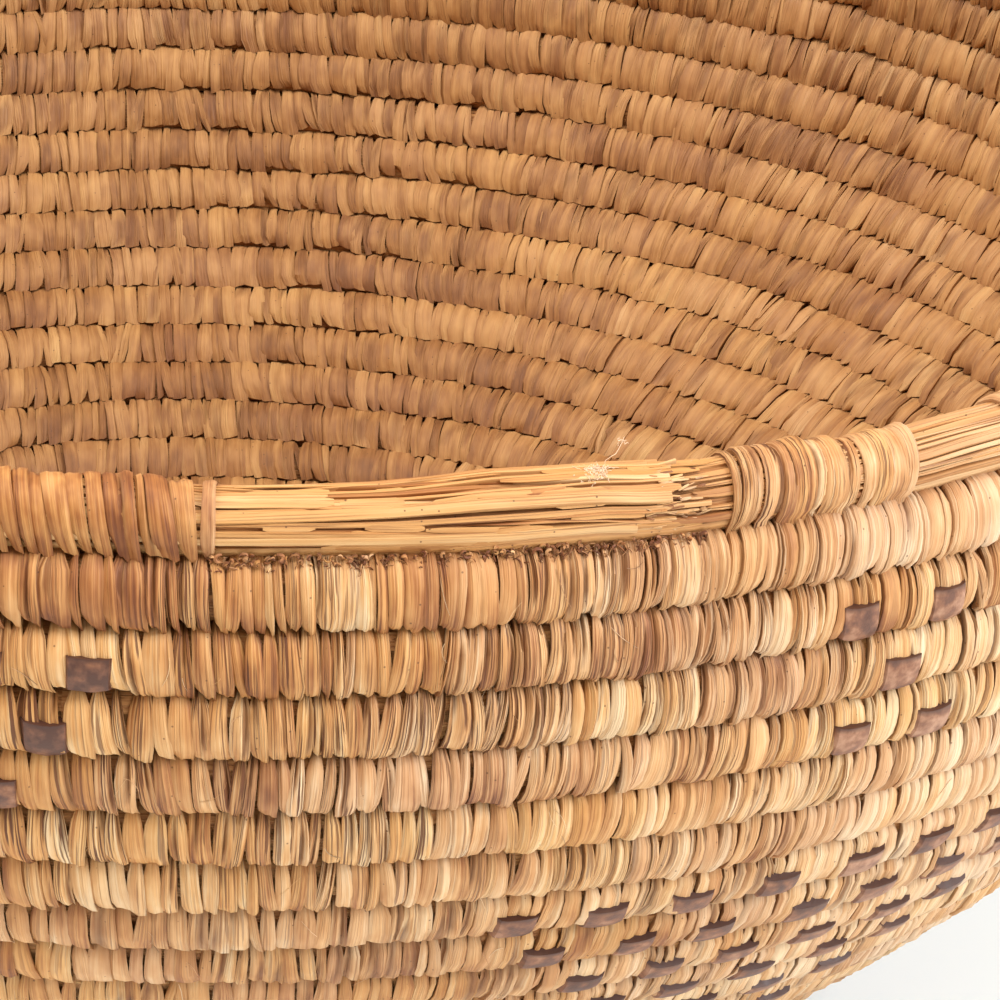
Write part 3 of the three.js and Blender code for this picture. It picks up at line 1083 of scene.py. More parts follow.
straw = {
    "lanes": 21,
    "laneSpread": 0.5,
    "laneMargin": 0.03,  # radians that an old straw keeps clear of other lanes' edges
    "turns": (-0.002, 1.002, 1.003),  # a lane's start, where its last straw may start, and its end
    "length": (0.07, 0.3),  # turns
    "overlap": 0.0004,
    "gap": (0.0001, 0.0008),
    "snapSpread": 0.0026,
    "snapTurned": 0.4,  # radians
    "snapChance": 0.85,
    # straws that have darkened: place round the bundle, width, from, to, in degrees, and how dark
    "old": [(-46, 13, 0.6, 12.4, 0.28), (-74, 3.4, 5.5, 11, 0.38), (8, 3.4, 1.5, 12, 0.42),
            (15, 3.4, 10, 17, 0.4), (37, 5, 0.4, 12, 0.35), (-34, 3, 15, 19, 0.45), (-62, 8, 12, 16.5, 0.22)],
    "oldSunk": 0.4 * mm,
    "sides": 8,
    "rings": 44,
    "waves": (4, 14),
    "wander": 0.07,
    "drift": 0.05,
    "height": 0.36 * mm,
    "sunk": 0.75,  # of its height
    "sunkSpread": 0.07 * mm,
    "dip": (-0.08 * mm, 0.1 * mm),
    "dipWaves": 1.7,
    "endLength": 9 * mm,
    "endShare": 0.2,
    "endSunk": 0.45 * mm,
    "sprungFrom": 0.96,
    "sprung": (0.1 * mm, 0.15 * mm),
    "wider": (1.0, 1.16),
    "higher": (0.85, 1.2),
    "tone": (0.53, 0.1),
    "toneWave": 0.08,
    "toneWaves": 0.6,
    # painted light: straws on the right side are lighter
    "litSideTone": 0.15,
    "darkChance": 0.08,
    "dark": 0.25,
    # painted shade between the straws and at their sunk ends
    "edgeShade": 0.45,
    "endShade": 0.3,
    # painted light: how far straws on the right side take the paler colours
    "tint": 0.5,
    "worn": (0.15, 0.95),
}


def cutLanes():
    # the edges of the lanes round the bundle, where each old straw has a lane of its own
    widths = np.exp(dice.normal(0, straw["laneSpread"], straw["lanes"]))
    edges = np.concatenate([[0], np.cumsum(widths / widths.sum())]) * fullTurn
    for place, wide, *rest in straw["old"]:
        low, high = np.radians([place - wide / 2, place + wide / 2]) + math.pi
        kept = (edges < low - straw["laneMargin"]) | (edges > high + straw["laneMargin"])
        edges = np.sort(np.append(edges[kept], [low, high]))
    return edges


def layStraws():
    # each lane is a chain of straws that meet end to end
    edges = cutLanes()
    start, lastStart, last = straw["turns"]
    straws = []
    for low, high in zip(edges[:-1], edges[1:]):
        middle = (low + high) / 2 - math.pi
        stops = [last]
        old = None
        for place, wide, fromAngle, toAngle, dark in straw["old"]:
            if abs(middle - math.radians(place)) < 0.01:
                old = (turnsAt(1, fromAngle), dark)
                stops += [old[0], turnsAt(1, toAngle)]
        snap = turnsAt(1, rim["brokenAt"]) + dice.normal(0, straw["snapSpread"])
        if math.cos(middle + straw["snapTurned"]) > 0 and dice.random() < straw["snapChance"]:
            stops.append(snap)
        at = start
        while at < lastStart:
            end = at + dice.uniform(*straw["length"])
            end = min([end] + [stop for stop in stops if stop > at + straw["gap"][1]])
            aged = old[1] if old is not None and abs(at - old[0]) < 0.001 else 0
            straws.append((at, end, middle, high - low, end == snap, aged))
            at = end + (dice.uniform(*straw["gap"]) if end == snap else -straw["overlap"])
    return np.array(straws, dtype=float)


def makeStraws():
    straws = layStraws()
    count = len(straws)
    template = strawTemplate(straw["sides"], straw["rings"])
    each = (count, 1, 1)
    t = np.linspace(0, 1, straw["rings"] + 1)
    start, end, middle, laneAngle, snapped, aged = (straws[:, i].reshape(each) for i in range(6))
    turns = start + (end - start) * t
    around = roundAngles(straw["sides"]) + math.pi
    waves = dice.uniform(*straw["waves"], each) * turns * fullTurn + dice.uniform(0, fullTurn, each)
    theta = middle + straw["wander"] * np.sin(waves) + dice.normal(0, straw["drift"], each) * (2 * t - 1)
    reach = rim["radius"] - straw["height"] * straw["sunk"] + dice.normal(0, straw["sunkSpread"], each)
    reach = reach + dice.uniform(*straw["dip"], each) * np.sin(waves * straw["dipWaves"])
    fromEnd = np.minimum(t, np.where(snapped > 0, 1, 1 - t)) * (end - start) * mouthLength
    closing = straw["endShare"] + (1 - straw["endShare"]) * rising(fromEnd, 0, straw["endLength"]) ** 0.7
    sprung = snapped * rising(t, straw["sprungFrom"], 1) * dice.normal(*straw["sprung"], each)
    reach = reach - aged * straw["oldSunk"] - (1 - closing) * straw["endSunk"] + sprung
    halfWide = laneAngle * rim["radius"] / 2 * dice.uniform(*straw["wider"], each) * closing
    halfHigh = straw["height"] * dice.uniform(*straw["higher"], each) * closing
    aside = halfWide * blunt(np.sin(around), 0.6)
    above = halfHigh * blunt(np.cos(around), 0.55)
    grid = wallPoint(turns, *aroundRim(turns, theta, reach + above, aside))
    # painted light: straws on the right side are lighter and paler
    pale = ageAndLightAt(turns)[1]
    dark = np.maximum(aged, (dice.random(each) < straw["darkChance"]) * straw["dark"]) * (1 - snapped)
    tone = dice.normal(*straw["tone"], each) + straw["toneWave"] * np.sin(waves * straw["toneWaves"])
    # painted shade between the straws and at their sunk ends
    paintedShade = np.where(np.abs(np.sin(around)) > 0.9, straw["edgeShade"], 0) + (1 - closing) * straw["endShade"]
    values = {"tone": tone + straw["litSideTone"] * pale - dark, "seed": dice.random(count),
              "paintedShade": np.clip(paintedShade, 0, 1), "tint": pale * straw["tint"],
              "worn": dice.uniform(*straw["worn"], count)}
    bendCopies("rim_straws", template, grid, (aside, turns * mouthLength), values, strawMaterial,
               ["rim_bundle"])
    print("rim straws:", count)


# Short thin layers that have come loose from the straws.
flake = {
    "count": 210,
    "inFront": 60,
    "frontAngles": (1, 19.5),
    "sides": 6,
    "rings": 8,
    "length": (3 * mm, 22 * mm),
    "round": (-1.7, 1.2),  # radians
    "drift": 0.03,
    "sunk": (0.02 * mm, 0.12 * mm),
    "halfWidth": (0.25 * mm, 1.0 * mm),
    "halfHeight": (0.08 * mm, 0.16 * mm),
    "endFade": 0.08,
    "endShare": 0.5,
    "tone": (0.5, 0.1),
    "worn": 0.4,
}


def makeFlakes():
    count, front = flake["count"], flake["inFront"]
    each = (count, 1, 1)
    angles = [dice.uniform(*flake["frontAngles"], front), dice.uniform(-180, 180, count - front)]
    start = turnsAt(1, np.concatenate(angles)).reshape(each)
    t = np.linspace(0, 1, flake["rings"] + 1)
    turns = start + (t - 0.5) * dice.uniform(*flake["length"], each) / mouthLength
    around = roundAngles(flake["sides"])
    closing = flake["endShare"] + (1 - flake["endShare"]) * between(t, 0, 1, flake["endFade"])
    theta = dice.uniform(*flake["round"], each) + dice.normal(0, flake["drift"], each) * (2 * t - 1)
    reach = rim["radius"] - dice.uniform(*flake["sunk"], each)
    aside = dice.uniform(*flake["halfWidth"], each) * closing * np.sin(around)
    above = dice.uniform(*flake["halfHeight"], each) * closing * np.cos(around)
    grid = wallPoint(turns, *aroundRim(turns, theta, reach + above, aside))
    values = {"tone": dice.normal(*flake["tone"], count), "seed": dice.random(count), "paintedShade": 0.0,
              "worn": flake["worn"]}
    bendCopies("rim_flakes", strawTemplate(flake["sides"], flake["rings"]), grid,
               (aside, turns * mouthLength), values, strawMaterial)


# The grass inside the bundle, which shows between the straws.
filler = {
    "lengths": 8,
    "overlap": 0.001,
    "sides": 12,
    "rings": 40,
    "share": 0.915,
    "tone": 0.35,
    # painted shade over the whole filler, which shows only between the straws
    "paintedShade": 0.2,
}


def makeRimFiller():
    lengths = filler["lengths"]
    ring = np.linspace(-filler["overlap"], 1 / lengths + filler["overlap"], filler["rings"] + 1)
    turns = (np.arange(lengths) / lengths)[:, None, None] + ring
    around = roundAngles(filler["sides"])
    grid = wallPoint(turns, *aroundRim(turns, around, rim["radius"] * filler["share"]))
    values = {"tone": filler["tone"], "seed": dice.random(lengths), "paintedShade": filler["paintedShade"]}
    bendCopies("rim_filler", strawTemplate(filler["sides"], filler["rings"]), grid,
               (around * rim["radius"], turns * mouthLength), values, coreMaterial,
               ["rim_bundle"])


makeStraws()
makeFlakes()
makeRimFiller()


# Lashings: a dozen turns of split leaf each, round the rim bundle and into row 1.
lashing = {
    "wraps": 12,
    "spread": 28.2 * mm,  # from a lashing's first wrap to its last
    "spacingNoise": 0.25 * mm,
    "columns": 7,
    "rows": 18,
    "over": 0.55 * mm,  # from the straws to the wraps
    "startOut": -3.9 * mm,
    "startDown": 0.6 * mm,  # from the seam above row 1
    "round": (-212, 36, 16),  # degrees round the bundle: from, to, and further where the tip is tucked in
    "tipOut": 3.6 * mm,
    "tuckedOut": 1.2 * mm,
    "lowerOut": 0.8,
    "tipOver": -0.05 * mm,  # how far a wrap's tip laps over row 1
    "strayChance": 0.45,
    "stray": (-1.4 * mm, 1.2 * mm),
    "strayLean": 0.8 * mm,
    "strayWidth": 0.65,
    "strayTone": 0.4,
    "strayTint": 0.8,
    "gap": 3.1 * mm,
    "gapSpacing": 1.2 * mm,
    "earlyWidth": 0.52,
    "widths": (0.85, 1.15),
    # middle, spread among lashings, and spread of single wraps
    "tone": (0.48, 0.04, 0.1),
    "tint": (0.15, 0.1, 0.15),
    "brown": 0.75,
    "fall": (-0.05, 0.14),
    "waveLean": (-2.3 * mm, -1.2 * mm),
    "leanSpread": 0.3 * mm,
    "waveBow": 0.7 * mm,
    "bowSpread": 0.25 * mm,
    "waveSlant": 0.6 * mm,
    "slantSpread": 0.2 * mm,
    "worn": 0.6,
    "quirks": {  # by lashing number
        11: {"aside": 1.6 * mm, "wider": 1.8 * mm, "lower": 0.9 * mm, "gap": 3, "worn": 1.5, "fill": 1.2,
             "tone": -0.06, "tint": 0.15},
        13: {"aside": 1.3 * mm, "stray": 1.9 * mm, "worn": 0.3, "fill": 1.1, "tone": -0.08, "tint": -0.3},
    },
}
lashingLook = {
    **stitchLook,
    "fill": 1.05,
    "spans": [(0, 0.75, 1.0), (0.3, 0.78, 1.12), (0.6, 0.84, 1.2), (0.85, 0.85, 1.2), (1, 0.75, 1.1)],
    "ridge": 0.06 * mm,
    "crown": 0.3 * mm,
    "lift": 0.18 * mm,
    "twist": 0.2 * mm,
    "tipFrom": 0.82,
    "round": 0.5 * mm,
    "tipSpread": 0.25 * mm,
    "length": 30 * mm,
    "topShade": 0,
}


def lashingPath(turns, tucked, lower):
    # from the inside of row 1, over the bundle, to a tip that lies on row 1 or is tucked in above it
    start, end, further = lashing["round"]
    angles = np.radians(np.linspace(start, end + further * tucked, lashing["rows"] - 1))
    out, down = aroundRim(turns, angles, rim["radius"], above=lashing["over"])
    tip = lashing["tipOut"] - tucked * lashing["tuckedOut"] + lower * lashing["lowerOut"]
    out = np.concatenate([[lashing["startOut"]], out, [tip]])
    down = np.concatenate([[lashing["startDown"] - pitch / 2], down,
                           [lashing["tipOver"] + lower - pitch / 2]])
    return np.stack([out, down], axis=-1)


def placeWraps(number, quirk):
    # each wrap's turns, the spacing, and how far the first or last wrap has strayed
    wraps = lashing["wraps"] + int(dice.integers(0, 2))
    spacing = (lashing["spread"] + quirk.get("wider", 0)) / wraps
    places = (np.arange(wraps) - (wraps - 1) / 2) * spacing + dice.normal(0, lashing["spacingNoise"], wraps)
    places = places + quirk.get("aside", 0)
    gap = quirk.get("gap", 0)
    for early in range(gap):
        places[early] = places[gap] - lashing["gap"] - (gap - 1 - early) * lashing["gapSpacing"]
    stray = dice.uniform(*lashing["stray"]) if dice.random() < lashing["strayChance"] else 0
    stray = quirk.get("stray", stray)
    places[-1 if stray > 0 else 0] += stray
    return 1 - (number - 0.5) / bowl["lashingPlaces"] + places / mouthLength, spacing, stray


def layWraps(turns, wave, spacing, quirk):
    # one entry for each wrap
    count = len(turns)
    brown, pale = ageAndLightAt(turns)[:2]

    def mixed(key):
        middle, among, own = lashing[key]
        return dice.normal(middle, among) + dice.normal(0, own, count)

    def waved(amount, spread):
        return amount * wave + dice.normal(0, spread, count)

    return {
        "turns": turns,
        "width": spacing * dice.uniform(*lashing["widths"], count) * quirk.get("fill", 1),
        "seed": dice.random(count),
        # painted light: wraps on the right side get a lighter tone and more of the paler colours
        "tone": mixed("tone") + ageAndLight["litSideTone"] * pale - brown * lashing["brown"] + quirk.get("tone", 0),
        "tint": np.clip(np.clip(mixed("tint") + ageAndLight["pale"] * pale, 0, 1) + quirk.get("tint", 0), 0, 1),
        "fall": dice.normal(*lashing["fall"], count),
        "lean": waved(np.where(wave < 0, *lashing["waveLean"]), lashing["leanSpread"]),
        "bow": waved(lashing["waveBow"], lashing["bowSpread"]),
        "slant": stitch["meanSlant"] + waved(-lashing["waveSlant"], lashing["slantSpread"]),
        "split": dice.random(count),
        "worn": np.clip(dice.uniform(0.1, 1, count) * quirk.get("worn", lashing["worn"]), 0, 1),
        "short": np.zeros(count),
    }


def makeLashings():
    template = ribbonTemplate(lashing["columns"], lashing["rows"])
    for number in range(1, bowl["lashingPlaces"] + 1):
        if number == bowl["lostLashing"]:
            continue
        quirk = lashing["quirks"].get(number, {})
        turns, spacing, stray = placeWraps(number, quirk)
        wave = slantWave(turns)
        laid = layWraps(turns, wave, spacing, quirk)
        laid["width"][:quirk.get("gap", 0)] *= lashing["earlyWidth"]
        if stray:
            strayed = -1 if stray > 0 else 0
            laid["lean"][strayed] = -math.copysign(lashing["strayLean"], stray)
            laid["width"][strayed] *= lashing["strayWidth"]
            laid["tone"][strayed] = lashing["strayTone"]
            laid["tint"][strayed] = lashing["strayTint"]
        path = np.stack([lashingPath(turn, share, quirk.get("lower", 0))
                         for turn, share in zip(turns, (wave + 1) / 2)])
        bendRibbons(f"rim_lashing_{number:02d}_wraps", template, path, laid, lashingLook, leafMaterial,
                    [f"rim_lashing_{number:02d}"])
    print("lashings made")


makeLashings()


leatherLook = {
    "roughness": 0.52,
    "leastRoughness": 0.3,
    "glossSpread": 0.4,
    "specular": 0.4,
    "patchNoise": (520.0, 4.0),
    "grainNoise": (2600.0, 2.0),
    "patches": (0.34, 0.68),
    "patchShare": 0.45,
    "toneShare": 0.7,
    "colours": [(0.3, 76, 41, 24), (0.48, 100, 61, 42), (0.66, 130, 84, 57), (0.9, 166, 122, 94)],
    # the colour of the painted shadow at the tabs' top edges and hidden backs
    "edgeShadeColour": srgb(66, 34, 20),
    "bump": 0.35,
    "bumpDepth": 0.1 * mm,
    "patchHeight": 0.8,
}


def makeLeatherMaterial():
    look = leatherLook
    material, tree, shader = newMaterial("leather", look["roughness"], look["specular"])
    place = node(tree, "ShaderNodeTexCoord").outputs["Object"]
    patches = noise(tree, place, *look["patchNoise"])
    tone = plus(tree, times(tree, mask(tree, patches, *look["patches"]), look["patchShare"]),
                times(tree, attribute(tree, "tone"), look["toneShare"]), clamp=True)
    colour = ramp(tree, tone, look["colours"])
    # painted shadow: the top edges and hidden backs take the edge shade colour
    edge = mixColour(tree, attribute(tree, "paintedShade"), colour, look["edgeShadeColour"])
    tree.links.new(edge, shader.inputs["Base Color"])
    grain = noise(tree, place, *look["grainNoise"])
    gloss = plus(tree, times(tree, patches, look["glossSpread"]), look["leastRoughness"])
    tree.links.new(gloss, shader.inputs["Roughness"])
    height = plus(tree, grain, times(tree, patches, look["patchHeight"]))
    raiseBumps(tree, shader, height, look["bump"], look["bumpDepth"])
    return material


def bendTabs(name, template, row, angles, material):
    count = len(angles)
    each = (count, 1, 1)
    columns, rows = template["columns"], template["rows"]
    turns = turnsAt(row, angles).reshape(each)
    u = (np.linspace(-1, 1, columns + 1) * columns / (columns - 2))[None, :, None]
    hidden = np.abs(u) > 1.001
    u = np.clip(u, -1, 1)
    v = np.linspace(0, 1, rows + 1)
    crown = 1 - u ** 2
    shift = u * leather["width"] / 2 * dice.uniform(*leather["widthShares"], each)
    shift = shift + dice.normal(0, leather["skew"], each) * v
    sag = leather["sag"] * dice.uniform(*leather["sagShares"], each) * crown * (0.6 + 0.6 * v)
    ragged = dice.normal(0, leather["ragged"], (count, columns + 1, 1)) * (v > 0.95)
    down = leather["top"] + leather["height"] * v + sag + ragged + dice.normal(0, leather["tilt"], each) * u
    out = np.interp(down, outsidePath[:, 1], outsidePath[:, 0]) + leather["proud"] * (1 - 0.3 * v)
    out = out + leather["crown"] * crown - leather["tucked"] * np.abs(u) ** 8 - hidden * leather["thickness"]
    # painted light: tabs on the right side are lighter
    tone = leather["tone"] + leather["litSideTone"] * ageAndLightAt(turns)[1]
    tone = tone + dice.normal(0, leather["toneSpread"], each)
    # painted shadow at the top edge, under the stitches above, and on the hidden back
    paintedShade = np.where(v < 0.01, leather["topShade"], 0) + hidden * leather["backShade"]
    values = {"tone": tone, "seed": dice.random(count), "paintedShade": paintedShade}
    replaced = [f"leather_strip_row_{row}"] if row in leather["crossRows"] else []
    bendCopies(name, template, wallPoint(turns, out, down, shift), (shift, down), values, material,
               replaced, 40)


def makeLeather():
    material = makeLeatherMaterial()
    template = ribbonTemplate(leather["columns"], leather["rows"])
    for row, angles in tabPlaces.items():
        bendTabs(f"leather_tabs_row_{row}", template, row, angles, material)
    print("leather tabs made")


makeLeather()


# Wear: torn stitch ends under the bare part of the rim, loose fibres, and a little pale residue.
tornAngles = (0.4, 20.0)  # degrees
thread = {
    "sides": 4,
    "across": (0.31, 0.9, 0.3),  # no thread runs this way
    "endShare": 0.3,
    "uvRound": 0.1 * mm,
    "uvLength": 5 * mm,
}


def layThreads(name, turns, shift, out, down, radius, tone, material):
    # shift, out and down are every thread's points, from its place on the wall
    path = np.stack([shift, out, down], axis=-1)
    count, size = path.shape[:2]
    ahead = unit(np.gradient(path, axis=1))
    aside = unit(np.cross(ahead, thread["across"]))
    above = np.cross(aside, ahead)
    around = roundAngles(thread["sides"])[..., None]
    t = np.linspace(0, 1, size)
    thin = thread["endShare"] + (1 - thread["endShare"]) * np.sin(math.pi * np.clip(t, 0.05, 0.9)) ** 0.5
    thin = np.reshape(radius, (-1, 1, 1, 1)) * thin[:, None]
    skin = path[:, None] + thin * (np.cos(around) * aside[:, None] + np.sin(around) * above[:, None])
    grid = wallPoint(np.reshape(turns, (-1, 1, 1)), skin[..., 1], skin[..., 2], skin[..., 0])
    uv = (around[..., 0] * thread["uvRound"], t * thread["uvLength"])
    values = {"tone": tone, "seed": dice.random(count), "tint": dice.random(count), "paintedShade": 0.0}
    bendCopies(name, strawTemplate(thread["sides"], size - 1), grid, uv, values, material,
               smoothAngle=80)


def surfaceOut(down):
    # how far the stitches stand out of the wall, with the rows below and above too
    local = (down + pitch / 2) % pitch - pitch / 2
    return np.interp(local, outsidePath[:, 1], outsidePath[:, 0])


# Ends of row 1's stitches that have torn off and curled up under the bare straws.
tornEnd = {
    "count": 105,
    "points": 14,
    "curl": (1.4, 4.2),  # radians
    "curlRadius": (0.25 * mm, 0.6 * mm),
    "tightens": 0.6,
    "stretched": (0.8, 1.5),
    "down": (-4.05 * mm, 0.25 * mm),
    "out": (3.4 * mm, 4.0 * mm),
    "outMore": (0, 0.5 * mm),
    "radius": (0.12 * mm, 0.32 * mm),
    "tone": (0.28, 0.15),
}


def makeTornEnds():
    count, each = tornEnd["count"], (tornEnd["count"], 1)
    t = np.linspace(0, 1, tornEnd["points"])
    turns = turnsAt(1, np.sort(dice.uniform(*tornAngles, count)))
    way = dice.choice([-1, 1], each) * dice.uniform(*tornEnd["curl"], each)
    turned = dice.uniform(0, fullTurn, each) + way * t
    curl = dice.uniform(*tornEnd["curlRadius"], each) * (1 - tornEnd["tightens"] * t)
    shift = curl * np.cos(turned) * dice.uniform(*tornEnd["stretched"], each)
    down = dice.normal(*tornEnd["down"], each) + curl * np.sin(turned)
    out = dice.uniform(*tornEnd["out"], each) + t * dice.uniform(*tornEnd["outMore"], each)
    layThreads("torn_stitch_ends", turns, shift, out, down, dice.uniform(*tornEnd["radius"], count),
               dice.normal(*tornEnd["tone"], count), leafMaterial)


# Shreds of row 1's stitches that reach up to the bare straws.
tornFibre = {
    "count": 240,
    "points": 7,
    "length": (0.4 * mm, 1.7 * mm),
    "heading": 0.5,
    "bend": 1.3,
    "down": (-3.5 * mm, -2.6 * mm),
    "highest": -4.4 * mm,
    "surfaceTo": -3.9 * mm,
    "lift": 0.2 * mm,
    "more": (0, 0.7 * mm),
    "radius": (0.05 * mm, 0.14 * mm),
    "tone": (0.22, 0.18),
}


def makeTornFibres():
    count, each = tornFibre["count"], (tornFibre["count"], 1)
    t = np.linspace(0, 1, tornFibre["points"])
    turns = turnsAt(1, dice.uniform(*tornAngles, count))
    step = dice.uniform(*tornFibre["length"], each) / (tornFibre["points"] - 1)
    heading = dice.normal(0, tornFibre["heading"], each) + dice.normal(0, tornFibre["bend"], each) * t
    shift = np.cumsum(step * np.sin(heading), axis=1)
    down = dice.uniform(*tornFibre["down"], each) - np.cumsum(step * np.cos(heading), axis=1)
    down = np.maximum(down, tornFibre["highest"])
    out = surfaceOut(np.maximum(down, tornFibre["surfaceTo"])) + tornFibre["lift"]
    out = out + dice.uniform(*tornFibre["more"], each) * t
    layThreads("torn_fibres", turns, shift, out, down, dice.uniform(*tornFibre["radius"], count),
               dice.normal(*tornFibre["tone"], count), leafMaterial)


looseFibre = {
    "count": 500,
    "points": 8,
    "turns": (0, 10),
    "heading": 0.6,
    "bend": 1.0,
    "length": (1.5 * mm, 5 * mm),
    "down": (-3.2 * mm, 3.5 * mm),
    "leastOut": 4.3 * mm,
    "lift": 0.3 * mm,
    "more": (-0.1 * mm, 0.7 * mm),
    "radius": (0.03 * mm, 0.06 * mm),
    "tone": (0.8, 0.2),
}


def makeLooseFibres():
    count, each = looseFibre["count"], (looseFibre["count"], 1)
    t = np.linspace(0, 1, looseFibre["points"])
    heading = dice.normal(0, looseFibre["heading"], each)
    heading = heading + dice.normal(0, looseFibre["bend"], each) * (t - 0.5)
    step = dice.uniform(*looseFibre["length"], each) / (looseFibre["points"] - 1)
    down = dice.uniform(*looseFibre["down"], each) + np.cumsum(step * np.cos(heading), axis=1)
    shift = np.cumsum(step * np.sin(heading), axis=1)
    out = np.maximum(surfaceOut(down), looseFibre["leastOut"]) + looseFibre["lift"]
    out = out + dice.uniform(*looseFibre["more"], each) * t ** 2
    layThreads("loose_fibres", dice.uniform(*looseFibre["turns"], count), shift, out, down,
               dice.uniform(*looseFibre["radius"], count), dice.normal(*looseFibre["tone"], count),
               leafMaterial)


# A whitish tuft stuck to the bare straws, and one long stray fibre that stands up from them.
residue = {
    "colour": srgb(226, 196, 166),
    "roughness": 0.85,
    "specular": 0.2,
    "angle": 15.7,
    "round": -58,  # degrees round the bundle
    "fibres": 170,
    "points": 8,
    "walk": (0.06 * mm, 0.07 * mm),  # a fibre's own way, and its changes on it
    "wide": 0.85 * mm,
    "high": 0.14,  # radians round the bundle
    "above": 0.02 * mm,
    "lift": 0.25,
    "radius": (0.02 * mm, 0.055 * mm),
    "strayAngle": 16.3,
    "strayRound": -84,
    "strayPath": np.array([(0, 0, 0.4), (0.4, 0.1, -0.4), (1.1, 0.2, -0.8), (1.8, 0.3, -1.1),
                           (2.3, 0.3, -1.7), (2.6, 0.4, -2.2), (2.9, 0.4, -2.6), (3.2, 0.3, -3.1)]) * mm,
    "strayRadius": 0.055 * mm,
    "strayTuft": 7,
    "tuftWalk": 0.13 * mm,
}


def makeResidue():
    material, tree, shader = newMaterial("pale_fluff", residue["roughness"], residue["specular"])
    shader.inputs["Base Color"].default_value = residue["colour"]
    count, points = residue["fibres"], residue["points"]
    place = turnsAt(1, residue["angle"])
    own, change = residue["walk"]
    walk = np.cumsum(dice.normal(0, own, (count, 1, 3)) + dice.normal(0, change, (count, points, 3)), axis=1)
    walk[..., 0] += dice.normal(0, residue["wide"], (count, 1))
    angle = math.radians(residue["round"]) + dice.normal(0, residue["high"], (count, 1))
    angle = angle + walk[..., 1] / rim["radius"]
    above = residue["above"] + np.abs(walk[..., 2]) * residue["lift"]
    out, down = aroundRim(place, angle, rim["radius"], above=above)
    layThreads("residue_fibres", place, walk[..., 0], out, down, dice.uniform(*residue["radius"], count), 1.0,
               material)
    place = turnsAt(1, residue["strayAngle"])
    out, down = aroundRim(place, math.radians(residue["strayRound"]), rim["radius"])
    path = residue["strayPath"]
    tuft = dice.normal(0, residue["tuftWalk"], (residue["strayTuft"], *path.shape))
    paths = np.concatenate([path[None], path[-2] + np.cumsum(tuft, axis=1)])
    layThreads("stray_fibre", place, paths[..., 0], paths[..., 1] + out, paths[..., 2] + down,
               residue["strayRadius"], 1.0, material)


# Chips of straw where the bare straws have snapped.
splinter = {
    "count": 110,
    "points": 5,
    "angleSpread": 0.75,  # degrees
    "lastAngle": 19.9,
    "round": (math.radians(-88), math.radians(50)),
    "drift": 0.05,
    "above": (-0.3 * mm, 0),
    "rises": (0, 0.25 * mm),
    "length": (0.5 * mm, 2.4 * mm),
    "radius": (0.08 * mm, 0.24 * mm),
    "tone": (0.6, 0.2),
}


def makeSplinters():
    count, each = splinter["count"], (splinter["count"], 1)
    t = np.linspace(0, 1, splinter["points"])
    place = dice.normal(rim["brokenAt"], splinter["angleSpread"], count)
    turns = turnsAt(1, np.minimum(place, splinter["lastAngle"]))
    angle = dice.uniform(*splinter["round"], each) + dice.normal(0, splinter["drift"], each) * t
    above = dice.uniform(*splinter["above"], each) + dice.uniform(*splinter["rises"], each) * t
    out, down = aroundRim(turns[:, None], angle, rim["radius"], above=above)
    shift = dice.uniform(*splinter["length"], each) * (t - 0.5)
    layThreads("straw_splinters", turns, shift, out, down, dice.uniform(*splinter["radius"], count),
               dice.normal(*splinter["tone"], count), strawMaterial)


makeTornEnds()
makeTornFibres()
makeLooseFibres()
makeResidue()
makeSplinters()
print("wear made")


# Floor, light and camera.
studio = {
    "floorSize": 12,
    "floorRoughness": 0.8,
    "floorSpecular": 0.2,
    "floorColour": srgb(240, 250, 255),
    "worldColour": srgb(255, 232, 206),
    "worldStrength": 0.56,
    "lit": Vector((0, 0, 0.1)),
    "lights": {  # place in metres, size in metres, power in watts, colour
        "key": ((1.7, -0.7, 1.15), 1.2, 58, (0.85, 0.93, 1.0)),
        "side": ((-1.3, 0.1, 1.2), 0.9, 26, (1.0, 0.97, 0.92)),
        "top": ((0.0, -0.45, 1.7), 0.9, 20, (1.0, 0.98, 0.94)),
    },
}
camera = {
    "place": Vector((0, -718.8 * mm, mouthHeight + 238.5 * mm)),
    "yaw": 0.0714,
    "pitch": 0.4079,
    "roll": 0.0418,
    "focal": 4680,  # in pixels of a frame 1000 pixels wide
    "frame": 1000,
    "sensor": 36,
    "farthest": 50,
}


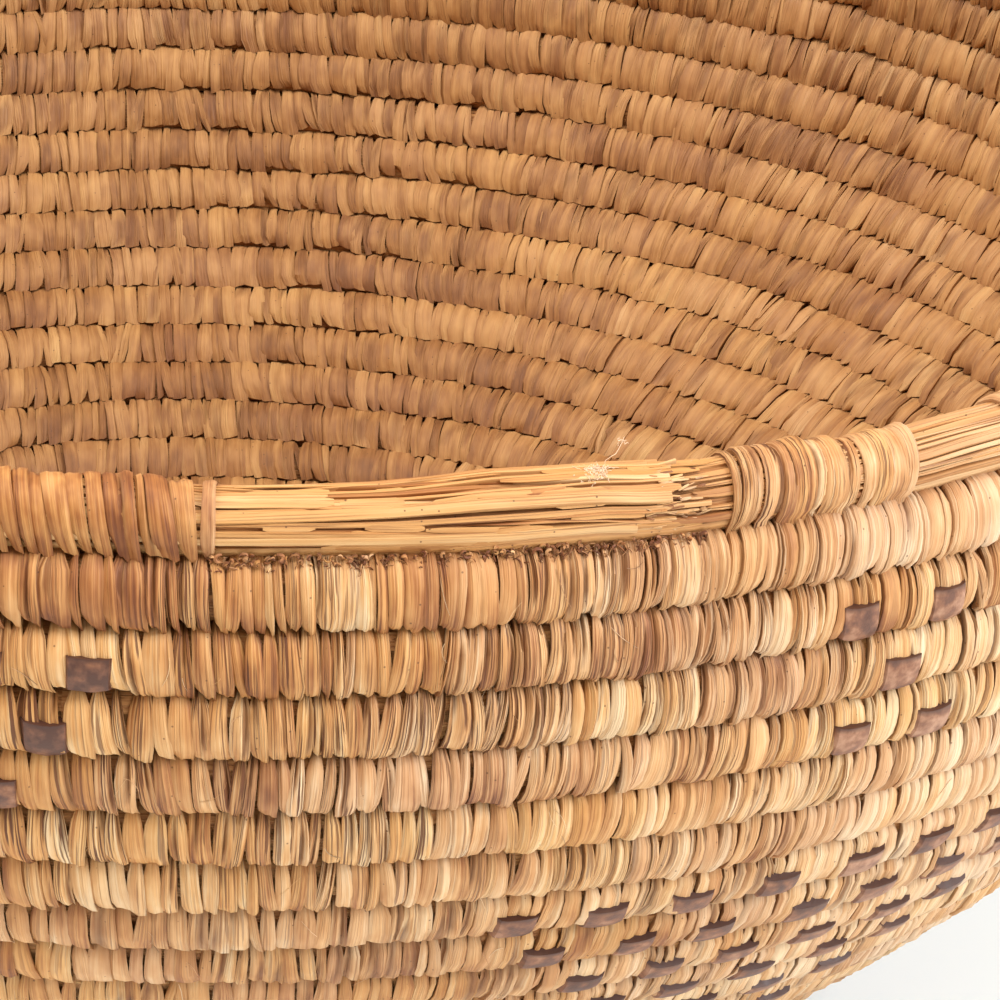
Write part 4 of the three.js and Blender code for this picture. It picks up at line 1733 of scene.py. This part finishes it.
def makeFloor():
    startFresh()
    bpy.ops.mesh.primitive_plane_add(size=studio["floorSize"], location=(0, 0, 0))
    floor = bpy.context.object
    floor.name = "floor"
    material, tree, shader = newMaterial("studio_floor", studio["floorRoughness"], studio["floorSpecular"])
    shader.inputs["Base Color"].default_value = studio["floorColour"]
    floor.data.materials.append(material)


def makeLights():
    for name, (place, size, power, colour) in studio["lights"].items():
        startFresh()
        bpy.ops.object.light_add(type="AREA", location=place)
        light = bpy.context.object
        light.name = name
        light.data.size = size
        light.data.energy = power
        light.data.color = colour
        light.rotation_euler = (studio["lit"] - Vector(place)).to_track_quat("-Z", "Y").to_euler()
    world = bpy.data.worlds.new("studio")
    world.use_nodes = True
    back = world.node_tree.nodes["Background"]
    back.inputs[0].default_value = studio["worldColour"]
    back.inputs[1].default_value = studio["worldStrength"]
    bpy.context.scene.world = world


def makeCamera():
    yaw, tilt, roll = camera["yaw"], camera["pitch"], camera["roll"]
    ahead = Vector((math.sin(yaw) * math.cos(tilt), math.cos(yaw) * math.cos(tilt), -math.sin(tilt)))
    right = ahead.cross(Vector((0, 0, 1))).normalized()
    up = right.cross(ahead)
    cameraX = math.cos(roll) * right + math.sin(roll) * up
    cameraY = -math.sin(roll) * right + math.cos(roll) * up
    data = bpy.data.cameras.new("camera")
    data.sensor_width = camera["sensor"]
    data.lens = camera["focal"] / camera["frame"] * camera["sensor"]
    data.clip_end = camera["farthest"]
    thing = bpy.data.objects.new("camera", data)
    thing.matrix_world = (Matrix.Translation(camera["place"])
                          @ Matrix((cameraX, cameraY, -ahead)).transposed().to_4x4())
    bpy.context.scene.collection.objects.link(thing)
    bpy.context.scene.camera = thing


makeFloor()
makeLights()
makeCamera()
bpy.context.scene.view_settings.view_transform = "Standard"
print("studio ready")

triangles = {thing.name: sum(len(face.vertices) - 2 for face in thing.data.polygons)
             for thing in bpy.context.scene.objects if thing.type == "MESH" and not thing.hide_render}
largest = max(triangles, key=triangles.get)
print("triangles:", sum(triangles.values()), "most in", largest, triangles[largest])
